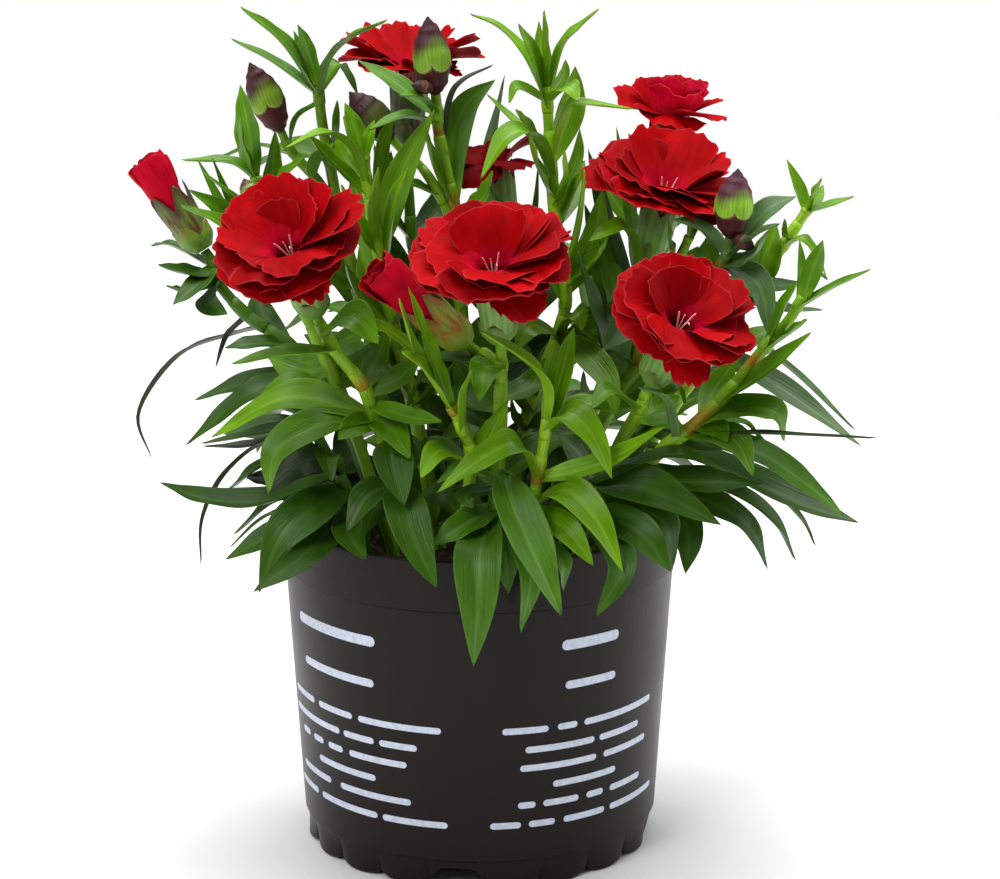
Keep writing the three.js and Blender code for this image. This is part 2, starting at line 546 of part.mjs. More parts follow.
      leaves: [
        [2.9, 10, 30, [[20, 143, -54], [12.5, 151, -60], [0.1, 158.4, -66]]],
        [2.9, 8, 60, [[25, 146, -50], [28.7, 159.2, -50]]],
        [3.0, 4, 50, [[21, 143, -46], [20.5, 151.4, -44]]],
        [2.8, 10, 30, [[27, 133, -54], [35, 125, -58], [40.7, 111.6, -62]]],
        [2.8, 8, 30, [[32, 135.5, -46], [41, 133, -46]]],
        [1.9, 10, 30, [[12, 123.4, -56], [0, 118, -62], [-13.2, 107.4, -68]]],
        [1.9, 10, 25, [[38, 117.5, -52], [56.6, 128.7, -54]]],
        [1.0, 11, 30, [[26, 108.5, -58], [36, 99, -66], [44.3, 82, -70]]],
        [0.9, 9, 30, [[26, 96.5, -62], [35.3, 84, -68]]],
      ],
    },
  ],
  shoot_front_left: [
    {
      root: [-6, -34],
      points: [[-2.5, 117, -45], [-5, 127, -49], [-8.6, 135, -51]],
      leaves: [
        [2.9, 5, 50, [[-18, 150, -56], [-24.1, 168.4, -60]]],
        [3.0, 6, 50, [[-14, 151, -52], [-21.3, 172, -54]]],
        [2.8, 7, 25, [[-20, 152.5, -50], [-35, 163, -50]]],
        [2.8, 9, 35, [[-16, 146.5, -58], [-23.5, 152, -62]]],
        [2.0, 7, 60, [[-5, 139, -56], [-2.3, 146.8, -58]]],
        [1.0, 9, 30, [[3, 126, -51], [9, 137, -46]]],
        [1.0, 9, 20, [[-12, 121, -56], [-18, 112, -64]]],
      ],
    },
  ],
  shoot_low_front_left: [
    {
      root: [-20, -30],
      points: [[-24.5, 111, -44], [-27, 124, -47]],
      leaves: [
        [2.0, 12, 0, [[-26, 116, -58], [-23, 103.3, -66]]],
        [2.0, 9, 20, [[-21.5, 121, -51], [-19.7, 114, -52]]],
        [1.0, 13, 0, [[-23, 104, -62], [-19, 90, -72], [-13.2, 77, -77]]],
        [1.0, 10, 20, [[-34, 107, -56], [-41, 95, -62]]],
        [0.5, 11, 30, [[-30, 104, -46], [-36, 94, -56]]],
      ],
    },
  ],
  shoot_low_front: [
    {
      root: [0, -42],
      points: [[4, 100, -49], [7.5, 114, -52]],
      leaves: [
        [2.0, 15, 0, [[11, 103, -64], [18, 86, -74], [25.5, 67.6, -78]]],
        [1.0, 14, 0, [[0, 90, -66], [-0.5, 72, -73], [-2, 51.5, -75]]],
        [1.0, 10, 0, [[7.5, 90, -63], [9, 75.2, -66]]],
        [1.2, 9, 30, [[-5, 97.5, -60], [-15, 90.5, -64]]],
        [1.0, 8, 0, [[15.5, 84, -66], [12.7, 62.5, -70]]],
        [1.8, 6, 20, [[-5, 115.5, -58], [-13, 110.7, -62]]],
        [1.6, 6, 20, [[-4, 107, -56], [-1.9, 102.5, -60]]],
        [1.0, 7, 10, [[24, 88, -62], [26, 76, -65]]],
      ],
    },
  ],
  shoot_low_front_right: [
    {
      root: [24, -34],
      points: [[31, 102, -44], [35, 111, -46]],
      leaves: [
        [2.0, 15, 35, [[52, 109, -52], [74.4, 97.2, -54]]],
        [1.0, 12, 35, [[48, 96, -58], [59.3, 82.2, -64]]],
        [1.0, 9, 20, [[44, 86, -66], [36, 67.4, -70]]],
        [1.5, 10, 45, [[56, 99, -46], [59.5, 82.7, -48]]],
        [2.0, 13, 25, [[66, 111.5, -42], [86.6, 110.3, -40]]],
        [2.0, 7, 15, [[58, 120, -42.5], [76.5, 114.3, -43]]],
        [2.0, 9, 20, [[30, 121, -36], [24, 126, -32]]],
      ],
    },
  ],
  shoot_low_right: [
    {
      root: [38, -17],
      points: [[47, 117, -24], [53, 129, -26]],
      leaves: [
        [1.0, 11, 25, [[66, 107, -32], [82, 98, -34], [89, 82.9, -34]]],
        [1.0, 9, 20, [[76, 109, -22], [91, 98.5, -20], [97.7, 85.6, -18]]],
        [1.4, 5, 20, [[80, 116, -12], [98, 101, -10], [103.7, 90.4, -8]]],
        [1.8, 14, 20, [[84, 111.5, -22], [101, 103.5, -26], [116.6, 98, -30]]],
        [2.0, 11, 25, [[84, 121, -33.7], [100, 110.5, -37.3], [112, 100, -39]]],
        [1.0, 10, 10, [[58, 112, -11], [70, 98, -6]]],
        [1.0, 12, 25, [[58, 106, -33], [64, 94, -40], [63.5, 81.5, -45]]],
      ],
    },
  ],
  shoot_low_left: [
    {
      root: [-34, -16],
      points: [[-39, 104, -24], [-43, 114, -26]],
      leaves: [
        [2.0, 12, 15, [[-66, 105.5, -18], [-85, 106.3, -16], [-97.9, 110.9, -16]]],
        [1.0, 12, 25, [[-62, 95, -28], [-78.4, 86.2, -30]]],
        [1.5, 14, 30, [[-50, 103.5, -42], [-61, 94, -48], [-68.3, 75.3, -50]]],
        [1.0, 11, 30, [[-52, 90, -48.5], [-70, 75.7, -57]]],
        [2.0, 3, 0, [[-62.5, 124, -4], [-76.4, 115.7, 2], [-85, 100, 4], [-86, 84, 6]]],
        [1.5, 3, 0, [[-60, 103, -10], [-68, 99, -8], [-77.2, 90, -6]]],
        [2.0, 9, 30, [[-46.5, 121, -44], [-45, 111, -50]]],
        [1.0, 10, 10, [[-40, 95, -50], [-35, 86, -62]]],
        [0.9, 12, 20, [[-52, 109, -20], [-64, 105, -14], [-76, 94, -10]]],
        [2.0, 14, 30, [[-52, 118, -32], [-66, 107, -36]]],
      ],
    },
  ],
  shoot_low_left_back: [
    {
      root: [-36, 8],
      points: [[-46, 118, 12], [-52, 132, 14]],
      leaves: [
        [2.0, 10, 20, [[-64, 141, 14], [-74, 144, 14]]],
        [2.0, 10, 0, [[-62, 134, 34], [-68, 120, 48]]],
        [1.0, 11, 10, [[-64, 118, 14], [-78, 108, 18]]],
        [1.0, 11, 0, [[-52, 116, 36], [-58, 100, 56]]],
        [2.0, 9, 20, [[-50, 142, 20], [-44, 150, 28]]],
        [1.0, 10, 0, [[-36, 118, 33], [-32, 104, 46]]],
        [1.5, 12, 30, [[-64, 128, 18], [-78, 126, 20]]],
      ],
    },
  ],
};

// ---------------------------------------------------------------- solids

function toSolid(geometry) {
  geometry.deleteAttribute("normal");
  geometry.deleteAttribute("uv");
  const merged = mergeVertices(geometry, 1e-4);
  const index = merged.index.array;
  const faces = [];
  for (let i = 0; i < index.length; i += 3) {
    const [a, b, c] = index.slice(i, i + 3);
    // A pointed end collapses some triangles to a line, and those are left out.
    if (a !== b && b !== c && c !== a) faces.push(a, b, c);
  }
  const vertProperties = Float32Array.from(merged.attributes.position.array);
  const make = (triVerts) => new wasm.Manifold(new wasm.Mesh({ numProp: 3, vertProperties, triVerts }));
  const solid = make(Uint32Array.from(faces));
  return solid.volume() > 0 ? solid : make(Uint32Array.from(faces.reverse()));
}

function toGeometry(solid) {
  const mesh = solid.getMesh();
  const geometry = new THREE.BufferGeometry();
  geometry.setAttribute("position", new THREE.BufferAttribute(mesh.vertProperties, mesh.numProp));
  geometry.setIndex(new THREE.BufferAttribute(mesh.triVerts, 1));
  geometry.computeVertexNormals();
  return geometry;
}

// A closed profile of [radius, height] points turned about Z.
function turned(profile, segments) {
  const points = profile.map(([r, z]) => new THREE.Vector2(r, z));
  return new THREE.LatheGeometry(points, segments).rotateX(Math.PI / 2);
}

function moveVertices(geometry, move) {
  const position = geometry.attributes.position;
  const vertex = new THREE.Vector3();
  for (let i = 0; i < position.count; i += 1) {
    vertex.fromBufferAttribute(position, i);
    move(vertex);
    position.setXYZ(i, vertex.x, vertex.y, vertex.z);
  }
  return geometry;
}

function curveThrough(points) {
  return new THREE.CatmullRomCurve3(points, false, "catmullrom");
}

// ---------------------------------------------------------------- pot and soil

function potProfile() {
  const { rimRadius, height, wall, bandRadius, bandBottom, bandStep } = POT;
  const { footRadius, footHeight, footWall, wallFootRadius, step, floorUnder, floorCorner } = POT;
  return [
    [0, floorUnder],
    [footRadius - footWall, floorUnder],
    [footRadius - footWall, 0],
    [footRadius, 0],
    [footRadius, footHeight],
    [wallFootRadius, footHeight + step],
    [bandRadius - bandStep, bandBottom - step],
    [bandRadius, bandBottom],
    [rimRadius, height],
    [rimRadius - wall, height],
    [bandRadius - bandStep - wall, bandBottom - wall],
    [wallFootRadius - wall, floorUnder + wall + floorCorner],
    [wallFootRadius - wall - floorCorner, floorUnder + wall],
    [0, floorUnder + wall],
  ];
}

function footTurn(degrees) {
  return new THREE.Matrix4().makeRotationZ(THREE.MathUtils.degToRad(degrees));
}

function archCutter() {
  const shape = new THREE.Shape();
  const half = ARCH.width / 2;
  shape.moveTo(-half, -CUT);
  shape.lineTo(half, -CUT);
  shape.lineTo(half, ARCH.shoulder);
  shape.quadraticCurveTo(half, ARCH.height, 0, ARCH.height);
  shape.quadraticCurveTo(-half, ARCH.height, -half, ARCH.shoulder);
  shape.closePath();
  const geometry = new THREE.ExtrudeGeometry(shape, { depth: CUT, bevelEnabled: false, curveSegments: 4 });
  return geometry.rotateX(Math.PI / 2).translate(0, CUT / 2 - POT.footRadius + POT.footWall / 2, 0);
}

function makePot() {
  let pot = toSolid(turned(potProfile(), POT.segments));
  for (let i = 0; i < LOBES.count; i += 1) {
    const groove = new THREE.BoxGeometry(LOBES.groove, 2 * LOBES.grooveDepth, LOBES.groove);
    groove.rotateY(Math.PI / 4).translate(0, -POT.footRadius, 0);
    groove.applyMatrix4(footTurn(LOBES.startAngle + (i * 360) / LOBES.count));
    pot = pot.subtract(toSolid(groove));
  }
  for (let i = 0; i < ARCH.count; i += 1) {
    pot = pot.subtract(toSolid(archCutter().applyMatrix4(footTurn(ARCH.angle + (i * 360) / ARCH.count))));
  }
  for (let i = 0; i < DRAIN.count; i += 1) {
    const angle = ((i + 0.5) / DRAIN.count) * 2 * Math.PI;
    const hole = new THREE.CylinderGeometry(DRAIN.radius, DRAIN.radius, CUT, DRAIN.sides);
    hole.rotateX(Math.PI / 2).translate(DRAIN.ring, 0, POT.floorUnder).rotateZ(angle);
    pot = pot.subtract(toSolid(hole));
  }
  return pot;
}

// The soil follows the pot's inside, and its surface slopes up a little from the wall.
function makeSoil(pegs) {
  const { bandRadius, bandStep, bandBottom, wall, wallFootRadius, floorUnder, floorCorner } = POT;
  const floor = floorUnder + wall + GAP;
  const lowRadius = wallFootRadius - wall - GAP;
  const highRadius = bandRadius - bandStep - wall - GAP;
  const profile = [
    [0, floor],
    [lowRadius - floorCorner, floor],
    [lowRadius, floor + floorCorner],
    [highRadius, bandBottom - wall],
    [highRadius - SOIL.edge, SOIL.top - SOIL.crown],
    [highRadius - SOIL.slope, SOIL.top],
    [0, SOIL.top],
  ];
  let soil = toSolid(turned(profile, POT.segments));
  for (const peg of pegs) {
    soil = soil.subtract(peg);
  }
  return soil;
}

// ---------------------------------------------------------------- stems and leaves

// A tapered tube along a curve, with a section at each of its points, grown by extra all round.
function makeStem(stem, extra = 0) {
  const { curve, startRadius, endRadius } = stem;
  const geometry = new THREE.CylinderGeometry(1, 1, 1, STEM.sides, curve.points.length - 1);
  moveVertices(geometry, (vertex) => {
    const t = vertex.y + 0.5;
    const along = curve.getTangent(t);
    const across = new THREE.Vector3().crossVectors(along, BACK).normalize();
    const depth = new THREE.Vector3().crossVectors(across, along);
    const radius = THREE.MathUtils.lerp(startRadius, endRadius, t) + extra;
    const point = curve.getPoint(t).addScaledVector(across, vertex.x * radius);
    if (t === 0) point.addScaledVector(along, -extra);
    if (t === 1) point.addScaledVector(along, extra);
    vertex.copy(point.addScaledVector(depth, vertex.z * radius));
  });
  return toSolid(geometry);
}

// Half the width of a leaf along its length: narrow at the stem, then its full width, then a point.
function leafHalfWidth(t, width) {
  const { baseWidth, wideAt, taper } = LEAF;
  const quarter = Math.PI / 2;
  if (t < wideAt) return THREE.MathUtils.lerp(baseWidth, width, Math.sin((t / wideAt) * quarter)) / 2;
  return (width / 2) * Math.cos(((t - wideAt) / (1 - wideAt)) * quarter) ** taper;
}

// The centre line of a leaf starts inside the stem.
function leafCurve(node, points) {
  const placed = points.map(seen);
  const inward = node.clone().sub(placed[0]).setLength(LEAF.rooted);
  return curveThrough([node.clone().add(inward), ...placed]);
}

// A leaf bends in its own upright plane. Roll turns its upper face to the front about its chord.
// Its section is a flat triangle: two edges and the keel of the midrib beneath.
function makeLeaf(curve, width, roll) {
  const chord = curve.getPoint(1).sub(curve.getPoint(0));
  const flat = new THREE.Vector3().crossVectors(chord, UP).normalize();
  flat.applyAxisAngle(chord.normalize(), THREE.MathUtils.degToRad(roll) * Math.sign(chord.x));
  const geometry = new THREE.CylinderGeometry(1, 1, 1, 3, curve.points.length);
  moveVertices(geometry, (vertex) => {
    const t = vertex.y + 0.5;
    const point = curve.getPoint(t);
    if (t < 1) {
      const along = curve.getTangent(t);
      const side = flat.clone().addScaledVector(along, -flat.dot(along)).normalize();
      const under = new THREE.Vector3().crossVectors(along, side);
      const isKeel = vertex.z > 0;
      point.addScaledVector(side, Math.sign(Math.round(vertex.x)) * leafHalfWidth(t, width));
      point.addScaledVector(under, isKeel ? LEAF.keel : -LEAF.blade);
    }
    vertex.copy(point);
  });
  return toSolid(geometry);
}

// ---------------------------------------------------------------- flowers and buds

function axisFrame(base, tip) {
  const direction = tip.clone().sub(base).normalize();
  return { base, direction, turn: new THREE.Quaternion().setFromUnitVectors(UP, direction) };
}

// The green tube that holds the petals, with a solid foot.
function makeCalyx(length) {
  const { foot, baseRadius, shoulder, mouth, wall, sides } = CALYX;
  return turned(
    [
      [0, 0],
      [baseRadius, 0],
      [shoulder, foot],
      [mouth, length],
      [mouth - wall, length],
      [shoulder - wall, foot],
      [0, foot],
    ],
    sides,
  );
}

// A whorl's outline runs up the outside of the claws and out along the underside of the blades.
function whorlOutline({ claw, rise, mouth, blade }, spread) {
  return [
    [claw, PETAL.clawStart + rise],
    [mouth, CALYX.length + PETAL.overMouth],
    ...blade.map(([share, height]) => [share * spread, CALYX.length + height]),
  ];
}

// One whorl: its claws form a tube inside the calyx, and its blades spread over the mouth.
// The ruffles rise and fall round the edge, and the edge runs in and out from petal to petal.
function makeWhorl(whorl, spread) {
  const { wall, sides, ruffles, lobe } = PETAL;
  const outline = whorlOutline(whorl, spread);
  const inside = outline.map(([r, z], i) => {
    const [r0, z0] = outline[Math.max(i - 1, 0)];
    const [r1, z1] = outline[Math.min(i + 1, outline.length - 1)];
    const length = Math.hypot(r1 - r0, z1 - z0);
    return [r - ((z1 - z0) / length) * wall, z + ((r1 - r0) / length) * wall];
  });
  const profile = [...outline, ...inside.reverse(), outline[0]];
  const edge = outline[outline.length - 1][0];
  return moveVertices(turned(profile, sides), (vertex) => {
    const reach = Math.hypot(vertex.x, vertex.y) / edge;
    const angle = Math.atan2(vertex.y, vertex.x);
    const share = vertex.z > CALYX.length ? reach ** 2 : 0;
    vertex.z += whorl.ruffle * share * Math.sin(ruffles * angle);
    const growth = 1 + lobe * share * Math.cos(ruffles * angle);
    vertex.x *= growth;
    vertex.y *= growth;
  });
}

// The ovary and its two styles, which part as they leave the throat.
function makePistil() {
  const { points, startRadius, endRadius } = STYLE;
  const style = (side) =>
    makeStem({
      curve: curveThrough(points.map(([x, z]) => new THREE.Vector3(side * x, 0, z))),
      startRadius,
      endRadius,
    });
  return toSolid(turned(OVARY, OVARY_SIDES)).add(style(1)).add(style(-1));
}

// The rolled petals of an opening bud: a fluted cone over the calyx, closed at its end.
function makeRolledPetals(length) {
  const { clawRadius, mouthRadius, headRadius, endRadius, flutes, flute, sides } = ROLL;
  const mouth = BUD_CALYX_LENGTH + ROLL.overMouth;
  const profile = [
    [0, PETAL.clawStart],
    [clawRadius, PETAL.clawStart],
    [mouthRadius - ROLL.slack, mouth - ROLL.waist],
    [mouthRadius, mouth],
    [headRadius, length - ROLL.head],
    [endRadius, length - ROLL.cap],
    [0, length],
  ];
  return moveVertices(turned(profile, sides), (vertex) => {
    const share = Math.max(0, (vertex.z - mouth) / (length - mouth));
    const growth = 1 + flute * share * Math.cos(flutes * Math.atan2(vertex.y, vertex.x));
    vertex.x *= growth;
    vertex.y *= growth;
  });
}

function makeClosedBud(length, radius) {
  return turned(BUD_OUTLINE.map(([r, z]) => [r * radius, z * length]), BUD_SIDES);
}

// ---------------------------------------------------------------- assembly

const plant = new THREE.Group();

function finish(color, roughness) {
  return new THREE.MeshStandardMaterial({ color, roughness, metalness: 0 });
}

const FINISH = {
  pot: finish(0x2d2826, 0.45),
  soil: finish(0x3a2a1c, 0.95),
  calyx: finish(0x5d8a2c, 0.6),
  petal: finish(0xc4000c, 0.55),
  pistil: finish(0xf3c9cf, 0.5),
  bud: finish(0x5a3a35, 0.5),
  stem: finish(0x4f8a16, 0.5),
};

function addMesh(name, geometry, material) {
  const mesh = new THREE.Mesh(geometry, material);
  mesh.name = name;
  plant.add(mesh);
  return mesh;
}

function addOnAxis(name, geometry, material, frame) {
  const mesh = addMesh(name, geometry, material);
  mesh.position.copy(frame.base);
  mesh.quaternion.copy(frame.turn);
}

const bearers = { flower: {}, opening_bud: {}, closed_bud: {} };

for (const [name, { base, throat, spread }] of Object.entries(FLOWERS)) {
  const frame = axisFrame(seen(base), seen(throat));
  bearers.flower[name] = frame;
  addOnAxis(`calyx_${name}`, makeCalyx(CALYX.length), FINISH.calyx, frame);
  for (const [layer, whorl] of Object.entries(WHORLS)) {
    addOnAxis(`${layer}_petals_${name}`, makeWhorl(whorl, spread), FINISH.petal, frame);
  }
  if (FLOWERS_WITH_OPEN_THROAT.includes(name)) {
    addOnAxis(`pistil_${name}`, toGeometry(makePistil()), FINISH.pistil, frame);
  }
}
for (const [name, { base, end }] of Object.entries(OPENING_BUDS)) {
  const frame = axisFrame(seen(base), seen(end));
  bearers.opening_bud[name] = frame;
  addOnAxis(`calyx_${name}_bud`, makeCalyx(BUD_CALYX_LENGTH), FINISH.calyx, frame);
  const length = seen(base).distanceTo(seen(end));
  addOnAxis(`petals_${name}_bud`, makeRolledPetals(length), FINISH.petal, frame);
}
for (const [name, { base, tip, radius }] of Object.entries(CLOSED_BUDS)) {
  const frame = axisFrame(seen(base), seen(tip));
  bearers.closed_bud[name] = frame;
  const length = seen(base).distanceTo(seen(tip));
  addOnAxis(`bud_${name}`, makeClosedBud(length, radius), FINISH.bud, frame);
}

// A stem's centre line runs from its root or its branching point to just under what it bears.
function stemPath(stem, main) {
  const points = stem.points.map(seen);
  if (stem.root) {
    const [x, y] = stem.root;
    points.unshift(new THREE.Vector3(x, y, SOIL.top - SOIL.pegDepth), new THREE.Vector3(x, y, SOIL.top));
  } else {
    points.unshift(pointOnStem(main, stem.from));
  }
  if (stem.bears) {
    const [kind, name] = stem.bears;
    const { base, direction } = bearers[kind][name];
    const below = (distance) => base.clone().addScaledVector(direction, -distance);
    points.push(below(STEM.neck), below(GAP));
  }
  return {
    curve: curveThrough(points),
    first: stem.root ? 1 : 0, // the point that counts as 0 in the layout
    startRadius: stem.root ? STEM.baseRadius : STEM.branchRadius,
    endRadius: stem.root ? STEM.topRadius : STEM.branchRadius,
  };
}

function pointOnStem(path, at) {
  return path.curve.getPoint((at + path.first) / (path.curve.points.length - 1));
}

const pegs = [];
for (const [name, stems] of Object.entries(SHOOTS)) {
  const paths = [];
  for (const stem of stems) {
    paths.push(stemPath(stem, paths[0]));
  }
  pegs.push(makeStem(paths[0], GAP));
  const solids = paths.map((path) => makeStem(path));
  stems.forEach((stem, i) => {
    for (const [at, width, roll, points] of stem.leaves) {
      solids.push(makeLeaf(leafCurve(pointOnStem(paths[i], at), points), width, roll));
    }
  });
  const whole = solids.reduce((sum, solid) => sum.add(solid));
  addMesh(name, toGeometry(whole), FINISH.stem);
}

addMesh("pot", toGeometry(makePot()), FINISH.pot);
addMesh("potting_soil", toGeometry(makeSoil(pegs)), FINISH.soil);

export default plant;
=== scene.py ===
"""The potted dianthus as it looks: detailed pieces over the CAD frame, finishes, light and camera.

Lengths are in millimetres until a piece is made; Blender's own objects are in metres.
"""
import math
import random

import bmesh
import bpy
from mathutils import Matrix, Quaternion, Vector, geometry, noise

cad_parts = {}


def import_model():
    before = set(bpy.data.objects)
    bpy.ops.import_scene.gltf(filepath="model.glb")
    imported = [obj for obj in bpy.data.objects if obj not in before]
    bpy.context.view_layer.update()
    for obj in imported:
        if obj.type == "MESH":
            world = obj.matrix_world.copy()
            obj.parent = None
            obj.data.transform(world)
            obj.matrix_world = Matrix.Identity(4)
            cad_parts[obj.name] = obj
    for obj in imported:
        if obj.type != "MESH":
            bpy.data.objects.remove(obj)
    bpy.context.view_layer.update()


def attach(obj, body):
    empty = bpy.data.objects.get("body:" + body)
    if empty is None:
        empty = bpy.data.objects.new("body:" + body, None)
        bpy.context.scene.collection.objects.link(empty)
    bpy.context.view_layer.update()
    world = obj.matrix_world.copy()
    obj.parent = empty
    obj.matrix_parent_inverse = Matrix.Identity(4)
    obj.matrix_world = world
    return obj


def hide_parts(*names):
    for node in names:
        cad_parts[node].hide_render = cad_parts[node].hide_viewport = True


MM = 0.001
UP = Vector((0, 0, 1))
RIGHT = Vector((1, 0, 0))

# ---------------------------------------------------------------- layout, as in the CAD

# The viewing point that the layout is drawn from. Every point below is [x, z, y], where x and z are as
# they look from here on the plane y = 0.
EYE = Vector((6.3, -835, 334))

# An open flower runs from the base of its calyx to its throat; spread is its outer radius.
FLOWERS = {
    "front_left": {"base": [-49.2, 163.6, -42], "throat": [-58.2, 186, -54], "spread": 24},
    "front_centre": {"base": [6.3, 155.3, -46], "throat": [4.2, 176.9, -54], "spread": 27},
    "front_right": {"base": [52.5, 142.4, -40], "throat": [62, 163, -52], "spread": 24},
    "upper_right": {"base": [50, 178, 12], "throat": [55, 198, 8.5], "spread": 27},
    "top_right": {"base": [54, 201, 44], "throat": [56.5, 221, 43], "spread": 20},
    "top_left": {"base": [-21.5, 214, 40], "throat": [-20.5, 233, 42], "spread": 26},
    "back_centre": {"base": [8, 186, 16], "throat": [4.5, 206, 17], "spread": 12.5},
}
FLOWERS_WITH_OPEN_THROAT = ["front_left", "front_centre", "front_right", "upper_right"]

# An opening bud runs from the base of its calyx to the end of its rolled petals.
OPENING_BUDS = {
    "left": {"base": [-82.4, 183, 14], "end": [-98.5, 209, 16]},
    "front": {"base": [-3.6, 154.4, -36], "end": [-30.5, 176.5, -43]},
}

# A closed bud has a base, a tip and a greatest radius.
CLOSED_BUDS = {
    "left": {"base": [-58.8, 219, 8], "tip": [-67.6, 239, 6], "radius": 5.2},
    "top": {"base": [-12.8, 230, 2], "tip": [-15, 252.5, 0], "radius": 5.5},
    "centre": {"base": [-26, 216.5, 8], "tip": [-38.3, 230.3, 6], "radius": 5.3},
    "right": {"base": [75.2, 187, -18], "tip": [77.2, 207.5, -20], "radius": 5.6},
    "small": {"base": [-67.5, 197.5, -27], "tip": [-70, 204.5, -28], "radius": 2.6},
}

# The small withered bud that hangs at the foot of a closed one.
WITHERED_BUDS = {
    "top": {"base": (-13.5, 231.2, -3), "tip": (-20, 232.4, -5), "radius": 2.1},
    "right": {"base": (76.5, 186.6, -22), "tip": (82.6, 183.6, -24), "radius": 2.3},
}

